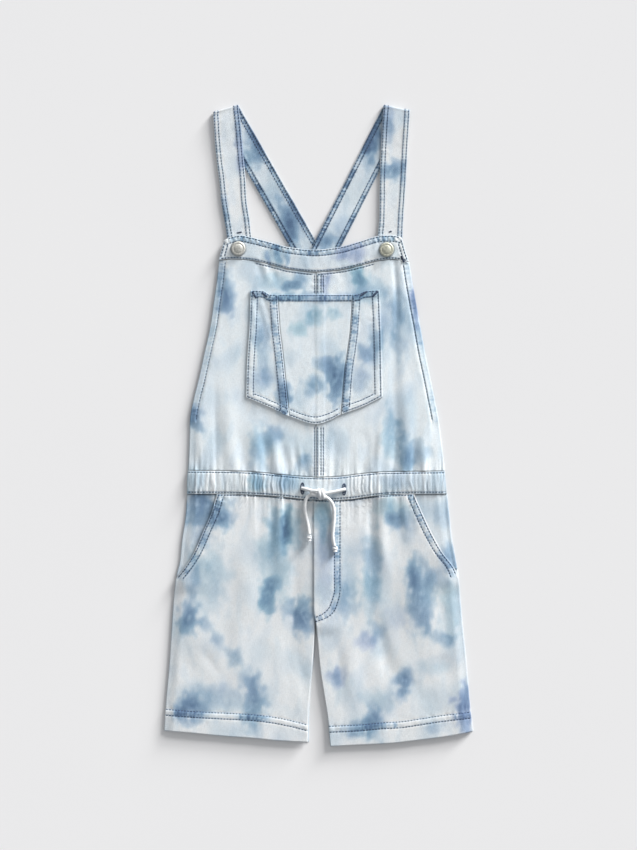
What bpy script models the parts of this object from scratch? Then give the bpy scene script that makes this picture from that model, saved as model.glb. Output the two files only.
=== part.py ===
"""A child's short denim overalls with wide shoulder straps, laid flat on their back.

The front faces up. X runs across the garment, +Y runs up to the shoulders and Z is the
height above the surface that it lies on. The origin is the middle of that footprint.
Tables and sizes are in millimetres, and MM turns them into metres.
"""

import math
from bisect import bisect_right
from collections import namedtuple

import bmesh
import bpy
from mathutils import Vector

MM = 0.001

# Cloth, seams and the heights of the layers
SEAM_GAP = 0.3
DENIM = 1.3
FRONT_INSIDE = 3.4
SIDE_INSIDE = 1.6
SIDE_ROLL = 12.0
FOLD_SHARE_INSIDE = 0.7
HEM_RISE = 0.6
HEM_STEP = 1.5
ARMHOLE_HEM = 7.0
LEG_HEM = 26.0
BAND_THICKNESS = 2.1
CASING_THICKNESS = 2.1
CASING_PUFF = 0.7
POCKET_THICKNESS = 1.2
POCKET_CLEARANCE = 0.4
FELLED_SEAM = 10.0
FELLED_RISE = 0.5
CENTRE_SEAM_X = -2.8
FLY_EDGE_X = -5.6
FLY_LAP = 8.0
LAP_LIFT = 1.9
FACING_CLOTH = 1.0
FACING_DROP = 0.5
OPENING_LAP = 4.0
CROTCH_SET_BACK = 1.2

# Buttons, straps and drawstring
BUTTON_RADIUS = 8.0
BUTTON_HEIGHT = 3.0
BUTTON_SIDES = 20
STRAP_CLOTH = 1.1
STRAP_HEM = 6.2
STRAP_HEM_RISE = 0.3
STRAP_FOLD_RADIUS = 1.3
STRAP_FOLD_STEPS = 6
STRAP_BACK_STEP = 26.0
CORD_RADIUS = 2.0
CORD_POINT_STEP = 9.0
KNOT_CENTRE = (-1.7, -75.7, 11.3)
KNOT_HALF_SIZE = (10.6, 7.6, 4.7)
STOPPER_HALF_SIZE = (3.4, 3.8, 2.9)
PATCH_PASSES = 8

Section = namedtuple("Section", "y left right")
EdgePoint = namedtuple("EdgePoint", "x y")
Fold = namedtuple("Fold", "x_from y_from x_to y_to width rise fades_at_both_ends")
Gathers = namedtuple("Gathers", "x_from x_to count depth")
StrapLine = namedtuple("StrapLine", "left_x left_y right_x right_y")
StrapHeight = namedtuple("StrapHeight", "y z")

# The bib's two armhole edges, which run down into the side seams
BIB_SECTIONS = [
    Section(186, -111.2, 101.2),
    Section(162, -113.8, 104.8),
    Section(140, -117.0, 108.6),
    Section(112, -121.0, 113.8),
    Section(84, -127.1, 118.8),
    Section(50, -134.6, 125.8),
    Section(28, -140.1, 130.2),
    Section(6, -143.9, 134.4),
    Section(-16, -144.5, 137.2),
    Section(-44, -145.6, 140.6),
    Section(-60, -147.0, 142.0),
    Section(-80, -147.3, 144.0),
]

# The hips and legs: the side seams
HIP_SECTIONS = [
    Section(-76, -147.3, 143.9),
    Section(-97, -148.4, 146.0),
    Section(-128, -152.9, 149.5),
    Section(-151, -155.1, 153.6),
    Section(-170, -159.4, 156.8),
    Section(-196, -162.4, 158.8),
    Section(-229, -164.6, 161.9),
    Section(-268, -167.2, 165.8),
    Section(-308, -170.8, 169.1),
    Section(-343, -173.0, 173.0),
]

# The curved hip pocket openings
OPENING_SECTIONS = [
    Section(-76, -113.5, 106.5),
    Section(-97, -119.6, 115.6),
    Section(-119, -129.2, 125.8),
    Section(-142, -139.3, 138.6),
    Section(-160, -150.6, 152.2),
    Section(-171, -159.5, 156.9),
]

# The inner leg edges, from the casing down the fly and the inseams
INSEAM_SECTIONS = [
    Section(-76, -2.8, -2.8),
    Section(-221, -2.8, -2.8),
    Section(-240, -3.6, -1.4),
    Section(-265, -5.2, 0.6),
    Section(-296, -8.0, 5.0),
    Section(-324, -10.2, 9.5),
    Section(-359, -10.8, 12.9),
]

BAND_UPPER_EDGE = [
    EdgePoint(-106, 206.6),
    EdgePoint(-99, 210.4),
    EdgePoint(-88, 212.7),
    EdgePoint(-77, 210.7),
    EdgePoint(-54, 204.8),
    EdgePoint(-32, 199.0),
    EdgePoint(-3, 196.4),
    EdgePoint(24, 199.6),
    EdgePoint(47, 206.0),
    EdgePoint(69, 212.1),
    EdgePoint(80, 212.7),
    EdgePoint(89, 211.6),
    EdgePoint(94, 208.8),
]

BAND_LOWER_EDGE = [
    EdgePoint(-112, 184.6),
    EdgePoint(-96, 186.0),
    EdgePoint(-77, 184.9),
    EdgePoint(-54, 179.9),
    EdgePoint(-32, 174.4),
    EdgePoint(-3, 171.4),
    EdgePoint(24, 173.9),
    EdgePoint(47, 178.9),
    EdgePoint(68, 184.2),
    EdgePoint(84, 185.6),
    EdgePoint(102, 182.2),
]

BAND_SECTIONS = [
    Section(182, -112.7, 101.4),
    Section(196, -108.6, 96.9),
    Section(213, -104.3, 92.2),
]

CASING_UPPER_EDGE = [
    EdgePoint(-148, -50.6),
    EdgePoint(-110, -50.8),
    EdgePoint(-77, -51.8),
    EdgePoint(-43, -55.0),
    EdgePoint(-15, -57.4),
    EdgePoint(2, -58.0),
    EdgePoint(18, -57.6),
    EdgePoint(52, -53.8),
    EdgePoint(72, -52.2),
    EdgePoint(143, -51.2),
]

CASING_LOWER_EDGE = [
    EdgePoint(-148, -76.9),
    EdgePoint(-110, -77.0),
    EdgePoint(-65, -78.4),
    EdgePoint(-43, -80.0),
    EdgePoint(-20, -82.4),
    EdgePoint(0, -83.6),
    EdgePoint(18, -83.9),
    EdgePoint(35, -83.0),
    EdgePoint(58, -79.8),
    EdgePoint(80, -77.7),
    EdgePoint(110, -77.0),
    EdgePoint(145, -76.9),
]

LEFT_HEM_EDGE = [
    EdgePoint(-173, -341.7),
    EdgePoint(-144, -344.0),
    EdgePoint(-110, -347.3),
    EdgePoint(-71, -350.1),
    EdgePoint(-49, -352.4),
    EdgePoint(-10, -354.6),
]

RIGHT_HEM_EDGE = [
    EdgePoint(12, -359.1),
    EdgePoint(41, -357.7),
    EdgePoint(80, -355.6),
    EdgePoint(114, -351.8),
    EdgePoint(147, -347.4),
    EdgePoint(173, -342.3),
]

POCKET_SECTIONS = [
    Section(152, -76.2, 68.4),
    Section(107, -77.8, 70.2),
    Section(84, -79.5, 70.8),
    Section(62, -80.6, 71.1),
    Section(28, -81.2, 71.8),
]

# The pocket's slanted felled seams, at the edge of the overlapping cloth
POCKET_SEAM_SECTIONS = [
    Section(148, -45.8, 38.0),
    Section(107, -43.1, 35.3),
    Section(84, -40.3, 32.4),
    Section(62, -38.0, 29.2),
    Section(14, -33.0, 25.2),
]

POCKET_UPPER_EDGE = [
    EdgePoint(-76, 151.1),
    EdgePoint(-62, 150.5),
    EdgePoint(-55, 146.6),
    EdgePoint(-20, 146.2),
    EdgePoint(20, 146.2),
    EdgePoint(43, 146.6),
    EdgePoint(51, 150.0),
    EdgePoint(69, 151.6),
]

POCKET_LOWER_EDGE = [
    EdgePoint(-81, 30.7),
    EdgePoint(-54, 19.5),
    EdgePoint(-32, 9.4),
    EdgePoint(-3, 1.0),
    EdgePoint(13, 5.5),
    EdgePoint(24, 11.2),
    EdgePoint(47, 19.5),
    EdgePoint(72, 31.8),
]

BACK_BIB_SECTIONS = [
    Section(-52, -146.6, 141.4),
    Section(-16, -144.5, 137.0),
    Section(6, -143.4, 133.9),
    Section(30, -136.0, 126.0),
    Section(55, -119.0, 109.0),
    Section(75, -104.0, 94.0),
    Section(91, -96.0, 86.0),
]

BACK_BIB_UPPER_EDGE = [
    EdgePoint(-96, 88.0),
    EdgePoint(0, 92.0),
    EdgePoint(86, 88.0),
]

# The folds of the front: each runs from its deep end to the end where it fades out
FRONT_FOLDS = [
    Fold(-133, -52, -140, -22, 5, -0.8, False),
    Fold(-108, -52, -121, 84, 8, -0.6, False),
    Fold(-95, -52, -104, 60, 9, 1.4, False),
    Fold(-82, -52, -88, -5, 5, -0.8, False),
    Fold(-68, -52, -74, 12, 7, 1.6, False),
    Fold(-54, -53, -62, 0, 5, -1.0, False),
    Fold(-44, -54, -52, -4, 5, 1.3, False),
    Fold(-34, -55, -44, 0, 5, -1.0, False),
    Fold(-21, -57, -29, -4, 4, -0.8, False),
    Fold(0, -58, 0, -16, 9, 1.0, False),
    Fold(19, -58, 17, -5, 4, -0.8, False),
    Fold(38, -56, 35, -16, 4, -0.7, False),
    Fold(52, -53, 55, 0, 5, -0.8, False),
    Fold(64, -52, 72, 16, 6, 1.5, False),
    Fold(86, -52, 87, 176, 6, -1.0, False),
    Fold(97, -52, 99, 90, 7, 1.2, False),
    Fold(108, -52, 105, -5, 5, -0.7, False),
    Fold(118, -52, 117, 10, 6, 1.3, False),
    Fold(126, -52, 123, -16, 4, -0.7, False),
    Fold(-63, -79, -66, -134, 4, -0.7, False),
    Fold(-51, -80, -53, -151, 4, -0.8, False),
    Fold(-43, -80, -44, -180, 6, 1.4, False),
    Fold(-35, -82, -36, -151, 5, -1.0, False),
    Fold(-25, -90, -30, -330, 7, -0.9, False),
    Fold(38, -83, 38, -117, 4, -0.6, False),
    Fold(50, -82, 50, -117, 4, -0.6, False),
    Fold(61, -79, 62, -240, 6, -1.0, False),
    Fold(71, -78, 76, -195, 7, 1.7, False),
    Fold(62, -200, 82, -308, 7, -0.9, True),
    Fold(91, -77, 91, -151, 5, -0.7, False),
    Fold(-82, -106, -82, -330, 16, 1.9, True),
    Fold(-160, -262, -105, -274, 18, -0.8, True),
    Fold(142, -251, 150, -307, 12, -0.7, True),
    Fold(-130, -190, -122, -322, 18, 1.0, True),
    Fold(104, -110, 116, -310, 17, 1.5, True),
    Fold(32, -220, 44, -338, 12, 1.2, True),
]

# The elastic casing's gathers, in groups from the left side to the right
CASING_GATHERS = [
    Gathers(-147, -115, 5, 0.7),
    Gathers(-115, -90, 3, 0.3),
    Gathers(-90, -18, 18, 0.8),
    Gathers(-18, 31, 7, 0.3),
    Gathers(31, 73, 10, 0.8),
    Gathers(73, 91, 2, 0.3),
    Gathers(91, 144, 7, 0.5),
]

# Each front strap, from the end under the band up to the fold at the shoulder
LEFT_STRAP_FRONT = [
    StrapLine(-100.0, 190, -72.5, 190),
    StrapLine(-102.8, 213, -75.0, 213),
    StrapLine(-105.4, 230, -76.9, 230),
    StrapLine(-109.2, 252, -80.2, 252),
    StrapLine(-111.4, 274, -81.5, 276),
    StrapLine(-114.4, 297, -84.0, 301),
    StrapLine(-116.2, 317, -85.8, 323),
    StrapLine(-117.4, 336, -87.8, 343),
    StrapLine(-118.2, 351, -89.6, 359),
]

RIGHT_STRAP_FRONT = [
    StrapLine(64.6, 190, 93.0, 190),
    StrapLine(66.1, 213, 94.5, 213),
    StrapLine(67.6, 230, 95.2, 230),
    StrapLine(68.0, 252, 96.6, 252),
    StrapLine(68.3, 276, 98.0, 274),
    StrapLine(69.2, 301, 99.2, 297),
    StrapLine(70.4, 323, 100.4, 318),
    StrapLine(71.6, 343, 101.7, 338),
    StrapLine(72.8, 359, 102.5, 353),
]

STRAP_BACK_LENGTH = {"left": 316.0, "right": 309.0}
STRAP_BACK_SLOPE = {"left": (0.497, -0.868), "right": (-0.4525, -0.8917)}

FRONT_STRAP_HEIGHTS = [
    StrapHeight(190, 2.25),
    StrapHeight(300, 2.25),
    StrapHeight(345, 3.45),
    StrapHeight(360, 3.45),
]

BACK_STRAP_HEIGHTS = {
    "left": [
        StrapHeight(70, 2.45),
        StrapHeight(103, 2.45),
        StrapHeight(127, 0.85),
        StrapHeight(360, 0.85),
    ],
    "right": [
        StrapHeight(70, 2.55),
        StrapHeight(214, 2.55),
        StrapHeight(252, 0.85),
        StrapHeight(360, 0.85),
    ],
}

# The drawstring's routes, out of the two eyelets, and from the knot down to each stopper
LEFT_NECK_ROUTE = [(-17.9, -70.5, 8.4), (-14.4, -71.0, 8.5), (-11.2, -71.7, 8.9)]
RIGHT_NECK_ROUTE = [(28.6, -71.5, 8.4), (23.0, -73.0, 8.4), (16.0, -74.4, 8.6), (9.0, -75.2, 9.2)]
LEFT_TAIL_ROUTE = [
    (-13.2, -77.4, 8.6),
    (-15.4, -83.6, 8.2),
    (-15.2, -92.5, 7.4),
    (-14.0, -101.5, 7.2),
    (-11.8, -111.6, 7.2),
    (-10.3, -120.6, 7.3),
]
RIGHT_TAIL_ROUTE = [
    (10.4, -80.6, 9.4),
    (14.6, -85.4, 9.2),
    (17.2, -92.0, 8.9),
    (17.6, -101.0, 8.7),
    (16.8, -111.0, 8.6),
    (15.8, -122.0, 8.5),
    (16.6, -129.6, 8.4),
    (17.6, -133.4, 8.4),
]
STOPPER_CENTRES = {"left": (-10.4, -125.6, 8.2), "right": (18.5, -137.6, 8.6)}
BUTTON_CENTRES = {"left": (-89.6, 197.6), "right": (76.2, 196.4)}


def smooth_value(points, at):
    """The value at one place of a smooth line through (place, value) points, with no overshoot."""
    if at <= points[0][0]:
        return points[0][1]
    if at >= points[-1][0]:
        return points[-1][1]
    index = bisect_right([place for place, _ in points], at) - 1
    start, start_value = points[index]
    end, end_value = points[index + 1]
    span = end - start
    slope = (end_value - start_value) / span
    slope_in = slope
    slope_out = slope
    if index > 0:
        before, before_value = points[index - 1]
        slope_in = shared_slope((start_value - before_value) / (start - before), slope)
    if index + 2 < len(points):
        after, after_value = points[index + 2]
        slope_out = shared_slope(slope, (after_value - end_value) / (after - end))
    t = (at - start) / span
    return (
        (2 * t**3 - 3 * t**2 + 1) * start_value
        + (t**3 - 2 * t**2 + t) * span * slope_in
        + (3 * t**2 - 2 * t**3) * end_value
        + (t**3 - t**2) * span * slope_out
    )


def shared_slope(one, other):
    """The slope where two stretches meet: none at a crest, else between the two."""
    if one * other <= 0.0:
        return 0.0
    return 2.0 * one * other / (one + other)


def line_through(rows, place, value, shift=0.0):
    """A function that reads one column of a table as a smooth line over another."""
    points = sorted((getattr(row, place), getattr(row, value) + shift) for row in rows)
    return lambda at: smooth_value(points, at)


def smooth_step(low, high, value):
    """0 below low, 1 above high, and a soft rise between them."""
    share = min(1.0, max(0.0, (value - low) / (high - low)))
    return share * share * (3.0 - 2.0 * share)


def even_stops(count, *marks):
    """Fractions from 0 to 1 in equal steps, with the marked fractions added, odd in number."""
    stops = {round(step / count, 4) for step in range(count + 1)}
    stops.update(marks)
    stops = sorted(stops)
    if len(stops) % 2 == 0:
        widest = max(range(len(stops) - 1), key=lambda i: stops[i + 1] - stops[i])
        stops.insert(widest + 1, (stops[widest] + stops[widest + 1]) / 2)
    return stops


bib_left_edge = line_through(BIB_SECTIONS, "y", "left")
bib_right_edge = line_through(BIB_SECTIONS, "y", "right")
hip_left_edge = line_through(HIP_SECTIONS, "y", "left")
hip_right_edge = line_through(HIP_SECTIONS, "y", "right")
opening_left_edge = line_through(OPENING_SECTIONS, "y", "left")
opening_right_edge = line_through(OPENING_SECTIONS, "y", "right")
left_hem_edge = line_through(LEFT_HEM_EDGE, "x", "y")
right_hem_edge = line_through(RIGHT_HEM_EDGE, "x", "y")
pocket_left_seam = line_through(POCKET_SEAM_SECTIONS, "y", "left")
pocket_right_seam = line_through(POCKET_SEAM_SECTIONS, "y", "right")


def garment_left(y):
    """The garment's left outline: armhole, side seam and leg."""
    return bib_left_edge(y) if y > -78 else hip_left_edge(y)


def garment_right(y):
    """The garment's right outline: armhole, side seam and leg."""
    return bib_right_edge(y) if y > -78 else hip_right_edge(y)


def fold_height(x, y):
    """How far the folds lift or sink the front's outer face at one place."""
    height = 0.0
    for fold in FRONT_FOLDS:
        along = Vector((fold.x_to - fold.x_from, fold.y_to - fold.y_from))
        reach = Vector((x - fold.x_from, y - fold.y_from))
        share = reach.dot(along) / along.length_squared
        if share < -0.1 or share > 1.0:
            continue
        across = abs(reach.x * along.y - reach.y * along.x) / along.length
        if across > 2.5 * fold.width:
            continue
        strength = 1.0 - smooth_step(0.35, 1.0, share)
        if fold.fades_at_both_ends:
            strength *= smooth_step(0.0, 0.35, share)
        height += fold.rise * strength * math.exp(-((across / fold.width) ** 2))
    return height


def front_base(x, y):
    """The height of the front's plain inner face, which rolls down to the side edges."""
    from_side = min(x - garment_left(y), garment_right(y) - x)
    return SIDE_INSIDE + (FRONT_INSIDE - SIDE_INSIDE) * smooth_step(0.0, SIDE_ROLL, from_side)


def front_inside(x, y):
    """The inner face of a front panel, which follows most of each fold."""
    return front_base(x, y) + FOLD_SHARE_INSIDE * fold_height(x, y)


def front_outside(x, y):
    """The outer face of a front panel, without hems."""
    return front_base(x, y) + DENIM + fold_height(x, y)


def bib_outside(x, y):
    """The bib's outer face, thicker along the armhole hems."""
    from_side = min(x - garment_left(y), garment_right(y) - x)
    hem = HEM_RISE * (1.0 - smooth_step(ARMHOLE_HEM - HEM_STEP, ARMHOLE_HEM, from_side))
    return front_outside(x, y) + hem


def leg_lift(side, x, y):
    """How far a front leg lies over the pocket facing, and the right leg over the left at the fly."""
    opening = x - opening_left_edge(y) if side == "left" else opening_right_edge(y) - x
    over_facing = 1.0 - smooth_step(OPENING_LAP + 6, OPENING_LAP + 20, opening)
    over_facing *= smooth_step(-192, -173, y)
    over_fly = 0.0
    if side == "right":
        over_fly = 1.0 - smooth_step(FLY_LAP + 6, FLY_LAP + 20, x - FLY_EDGE_X)
        over_fly *= smooth_step(-238, -222, y)
    return LAP_LIFT * max(over_facing, over_fly)


def leg_hem_rise(side, x, y):
    """The extra height of the doubled cloth in a leg hem."""
    hem_edge = left_hem_edge if side == "left" else right_hem_edge
    above = y - hem_edge(x)
    return HEM_RISE * (1.0 - smooth_step(LEG_HEM - HEM_STEP, LEG_HEM, above))


def pocket_under(x, y):
    """The pocket's inner face, a little clear of the bib."""
    return bib_outside(x, y) + POCKET_CLEARANCE


def panel_point(left, right, lower, upper, u, v):
    """The place at fraction u across and v up a panel that lies between four edge lines."""
    x = (left(0.0) + right(0.0)) / 2
    for _ in range(PATCH_PASSES):
        y = lower(x) + (upper(x) - lower(x)) * v
        x = left(y) + (right(y) - left(y)) * u
    return x, y


def finish(name, colour, roughness, metallic=0.0):
    """A plain material of one colour."""
    material = bpy.data.materials.new(name)
    material.use_nodes = True
    shader = material.node_tree.nodes["Principled BSDF"]
    shader.inputs["Base Color"].default_value = (*colour, 1.0)
    shader.inputs["Roughness"].default_value = roughness
    shader.inputs["Metallic"].default_value = metallic
    return material


def add_object(name, bm, material):
    """A finished piece from its bmesh, in metres."""
    bmesh.ops.scale(bm, vec=(MM, MM, MM), verts=bm.verts)
    mesh = bpy.data.meshes.new(name)
    bm.to_mesh(mesh)
    bm.free()
    mesh.shade_smooth()
    mesh.set_sharp_from_angle(angle=math.radians(40))
    mesh.materials.append(material)
    piece = bpy.data.objects.new(name, mesh)
    bpy.context.collection.objects.link(piece)
    return piece


def cloth_wall(name, edges, columns, rows, inside, outside, material, inner_step=2):
    """A closed cloth panel: outer points, an inner one under each or each second of them, and a rim.

    A folded panel needs an inner point under every outer one, or its narrow furrows thin the wall.
    """
    bm = bmesh.new()
    places = [[panel_point(*edges, u, v) for u in columns] for v in rows]
    over = [[bm.verts.new((x, y, outside(x, y))) for x, y in row] for row in places]
    under = [
        [bm.verts.new((x, y, inside(x, y))) for x, y in row[::inner_step]] for row in places[::inner_step]
    ]
    for grid, upwards in ((over, True), (under, False)):
        for low, high in zip(grid, grid[1:]):
            for i in range(len(low) - 1):
                for corners in ((low[i], low[i + 1], high[i + 1]), (low[i], high[i + 1], high[i])):
                    bm.faces.new(corners if upwards else corners[::-1])
    outer = rim(over)
    inner = rim(under)
    for i, start in enumerate(inner):
        end = inner[(i + 1) % len(inner)]
        beside = [outer[(inner_step * i + k) % len(outer)] for k in range(inner_step + 1)]
        for one, other in zip(beside, beside[1:]):
            bm.faces.new((start, other, one))
        bm.faces.new((start, end, beside[-1]))
    return add_object(name, bm, material)


def rim(grid):
    """The points round the edge of a grid, once round."""
    right = [row[-1] for row in grid]
    left = [row[0] for row in grid]
    return grid[0][:-1] + right[:-1] + grid[-1][:0:-1] + left[:0:-1]


def make_bib(material):
    """The two halves of the front bib, joined by the centre-front seam."""
    half_gap = SEAM_GAP / 2
    lower = line_through(CASING_UPPER_EDGE, "x", "y", half_gap)
    upper = line_through(BAND_LOWER_EDGE, "x", "y", -half_gap)
    rows = even_stops(22)
    left_edges = (bib_left_edge, lambda y: CENTRE_SEAM_X - half_gap, lower, upper)
    right_edges = (lambda y: CENTRE_SEAM_X + half_gap, bib_right_edge, lower, upper)
    left_columns = even_stops(14, 0.045, 0.06)
    right_columns = even_stops(14, 0.94, 0.955)
    cloth_wall("bib_left", left_edges, left_columns, rows, front_inside, bib_outside, material, inner_step=1)
    cloth_wall("bib_right", right_edges, right_columns, rows, front_inside, bib_outside, material, inner_step=1)


def make_band(material):
    """The doubled band across the top of the bib, which the buttons are set in."""
    edges = (
        line_through(BAND_SECTIONS, "y", "left"),
        line_through(BAND_SECTIONS, "y", "right"),
        line_through(BAND_LOWER_EDGE, "x", "y", SEAM_GAP / 2),
        line_through(BAND_UPPER_EDGE, "x", "y"),
    )
    cloth_wall(
        "bib_band",
        edges,
        even_stops(34),
        even_stops(4),
        lambda x, y: FRONT_INSIDE,
        lambda x, y: FRONT_INSIDE + BAND_THICKNESS,
        material,
    )


def pocket_outside(x, y):
    """The pocket's outer face, raised along the felled seams, each on its line's outer side."""
    from_seam = max(pocket_left_seam(y) - x, x - pocket_right_seam(y))
    on_seam = smooth_step(-0.5, 0.5, from_seam)
    on_seam *= 1.0 - smooth_step(FELLED_SEAM - HEM_STEP, FELLED_SEAM, from_seam)
    return pocket_under(x, y) + POCKET_THICKNESS + FELLED_RISE * on_seam


def make_pocket(material):
    """The bib pocket's three pieces, side by side on the bib."""
    half_gap = SEAM_GAP / 2
    lower = line_through(POCKET_LOWER_EDGE, "x", "y")
    upper = line_through(POCKET_UPPER_EDGE, "x", "y")
    outer_left = line_through(POCKET_SECTIONS, "y", "left")
    outer_right = line_through(POCKET_SECTIONS, "y", "right")
    pieces = (
        ("pocket_left", outer_left, lambda y: pocket_left_seam(y) - half_gap, (8, 0.72, 0.78)),
        (
            "pocket_centre",
            lambda y: pocket_left_seam(y) + half_gap,
            lambda y: pocket_right_seam(y) - half_gap,
            (10,),
        ),
        ("pocket_right", lambda y: pocket_right_seam(y) + half_gap, outer_right, (8, 0.22, 0.28)),
    )
    for name, left, right, stops in pieces:
        cloth_wall(
            name,
            (left, right, lower, upper),
            even_stops(*stops),
            even_stops(14),
            pocket_under,
            pocket_outside,
            material,
        )


def gather_stops():
    """The places across the casing of each gather's furrow and crest, with its depth."""
    stops = []
    for group in CASING_GATHERS:
        step = (group.x_to - group.x_from) / group.count / 2
        for i in range(2 * group.count):
            stops.append((group.x_from + i * step, group.depth * (i % 2)))
    last = CASING_GATHERS[-1]
    stops.append((last.x_to, 0.0))
    return stops


def make_casing(front_material, back_material):
    """The elastic waist casing, gathered across the front and lying flat at the back."""
    half_gap = SEAM_GAP / 2
    edges = (
        garment_left,
        garment_right,
        line_through(CASING_LOWER_EDGE, "x", "y", half_gap),
        line_through(CASING_UPPER_EDGE, "x", "y", -half_gap),
    )
    stops = gather_stops()
    first = stops[0][0]
    width = stops[-1][0] - first
    columns = [(x - first) / width for x, _ in stops]
    middle_y = (CASING_LOWER_EDGE[0].y + CASING_UPPER_EDGE[0].y) / 2

    def crest(x):
        across = (x - garment_left(middle_y)) / (garment_right(middle_y) - garment_left(middle_y))
        return smooth_value([(column, depth) for column, (_, depth) in zip(columns, stops)], across)

    def outside(x, y):
        low = edges[2](x)
        high = edges[3](x)
        share = (y - low) / (high - low)
        puff = 4.0 * share * (1.0 - share)
        return front_base(x, y) + CASING_THICKNESS + puff * CASING_PUFF + crest(x) * (0.5 + 0.5 * puff)

    cloth_wall(
        "waistband_front", edges, columns, [0.0, 0.12, 0.5, 0.88, 1.0], front_base, outside, front_material
    )
    cloth_wall(
        "waistband_back",
        edges,
        even_stops(44),
        [0.0, 0.5, 1.0],
        lambda x, y: 0.0,
        lambda x, y: DENIM,
        back_material,
    )


def fly_under_edge(y):
    """The left front's inner edge, which runs under the fly and then down the inseam."""
    seam = line_through(INSEAM_SECTIONS, "y", "left", -CROTCH_SET_BACK)(y)
    return seam + (FLY_EDGE_X + FLY_LAP - seam) * smooth_step(-216, -200, y)


def fly_edge(y):
    """The right front's inner edge: the fly's fold, then the inseam."""
    seam = line_through(INSEAM_SECTIONS, "y", "right", SEAM_GAP / 2)(y)
    return seam + (FLY_EDGE_X - seam) * smooth_step(-226, -206, y)


def make_front_legs(material):
    """The two front legs, cut away at the hip pocket openings."""
    upper = line_through(CASING_LOWER_EDGE, "x", "y", -SEAM_GAP / 2)

    def leg_left_edge(y):
        return opening_left_edge(y) if y > -171 else hip_left_edge(y)

    def leg_right_edge(y):
        return opening_right_edge(y) if y > -171 else hip_right_edge(y)

    rows = even_stops(30, 0.088, 0.1)
    legs = (
        ("left", (leg_left_edge, fly_under_edge, left_hem_edge, upper)),
        ("right", (fly_edge, leg_right_edge, right_hem_edge, upper)),
    )
    for side, edges in legs:
        cloth_wall(
            "front_leg_" + side,
            edges,
            even_stops(18),
            rows,
            lambda x, y, side=side: front_inside(x, y) + leg_lift(side, x, y),
            lambda x, y, side=side: front_outside(x, y) + leg_lift(side, x, y) + leg_hem_rise(side, x, y),
            material,
            inner_step=1,
        )


def facing_inside(x, y):
    """The inner face of a pocket facing, a little below the front leg's own."""
    return max(SIDE_INSIDE, front_inside(x, y) - FACING_DROP)


def make_hip_facings(material):
    """The pocket facings that show in the curved openings and run on under the legs."""
    upper = line_through(CASING_LOWER_EDGE, "x", "y", -SEAM_GAP / 2)
    facings = (
        ("left", (hip_left_edge, lambda y: opening_left_edge(y) + OPENING_LAP, lambda x: -169.0, upper)),
        ("right", (lambda y: opening_right_edge(y) - OPENING_LAP, hip_right_edge, lambda x: -161.0, upper)),
    )
    for side, edges in facings:
        cloth_wall(
            "hip_facing_" + side,
            edges,
            even_stops(6),
            even_stops(14),
            facing_inside,
            lambda x, y: facing_inside(x, y) + FACING_CLOTH,
            material,
            inner_step=1,
        )


def make_back(material):
    """The back bib and the two back legs, flat on the surface."""
    half_gap = SEAM_GAP / 2
    bib_edges = (
        line_through(BACK_BIB_SECTIONS, "y", "left"),
        line_through(BACK_BIB_SECTIONS, "y", "right"),
        line_through(CASING_UPPER_EDGE, "x", "y", half_gap),
        line_through(BACK_BIB_UPPER_EDGE, "x", "y"),
    )
    under_casing = line_through(CASING_LOWER_EDGE, "x", "y", -half_gap)
    left_inseam = line_through(INSEAM_SECTIONS, "y", "left", -half_gap)
    right_inseam = line_through(INSEAM_SECTIONS, "y", "right", half_gap)
    left_edges = (hip_left_edge, left_inseam, left_hem_edge, under_casing)
    right_edges = (right_inseam, hip_right_edge, right_hem_edge, under_casing)
    panels = (
        ("back_bib", bib_edges, 26, 8),
        ("back_leg_left", left_edges, 18, 10),
        ("back_leg_right", right_edges, 18, 10),
    )
    for name, edges, columns, rows in panels:
        stops = (even_stops(columns), even_stops(rows))
        cloth_wall(name, edges, *stops, lambda x, y: 0.0, lambda x, y: DENIM, material)


def strap_sections(side, front_lines):
    """The left end, right end and facing of each section along a strap, from front to back."""
    front_height = [(row.y, row.z) for row in FRONT_STRAP_HEIGHTS]
    back_height = [(row.y, row.z) for row in BACK_STRAP_HEIGHTS[side]]
    top = front_lines[-1]
    fold_left = Vector((top.left_x, top.left_y, 0.0))
    fold_right = Vector((top.right_x, top.right_y, 0.0))
    along_fold = (fold_right - fold_left).normalized()
    outward = Vector((-along_fold.y, along_fold.x, 0.0))
    inset = STRAP_FOLD_RADIUS + STRAP_CLOTH / 2 + STRAP_HEM_RISE
    up = Vector((0.0, 0.0, 1.0))
    sections = []
    for line in front_lines[:-1]:
        z = smooth_value(front_height, (line.left_y + line.right_y) / 2)
        left = Vector((line.left_x, line.left_y, z))
        right = Vector((line.right_x, line.right_y, z))
        sections.append((left, right, up))
    turn_height = back_height[-1][1] + STRAP_FOLD_RADIUS
    for step in range(STRAP_FOLD_STEPS + 1):
        angle = math.pi * step / STRAP_FOLD_STEPS
        facing = up * math.cos(angle) + outward * math.sin(angle)
        shift = facing * STRAP_FOLD_RADIUS - outward * inset + up * turn_height
        sections.append((fold_left + shift, fold_right + shift, facing))
    slope = Vector((*STRAP_BACK_SLOPE[side], 0.0))
    count = round(STRAP_BACK_LENGTH[side] / STRAP_BACK_STEP)
    for step in range(1, count + 1):
        travel = slope * STRAP_BACK_LENGTH[side] * step / count - outward * inset
        left = fold_left + travel
        right = fold_right + travel
        height = up * smooth_value(back_height, (left.y + right.y) / 2)
        sections.append((left + height, right + height, -up))
    return sections


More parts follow.
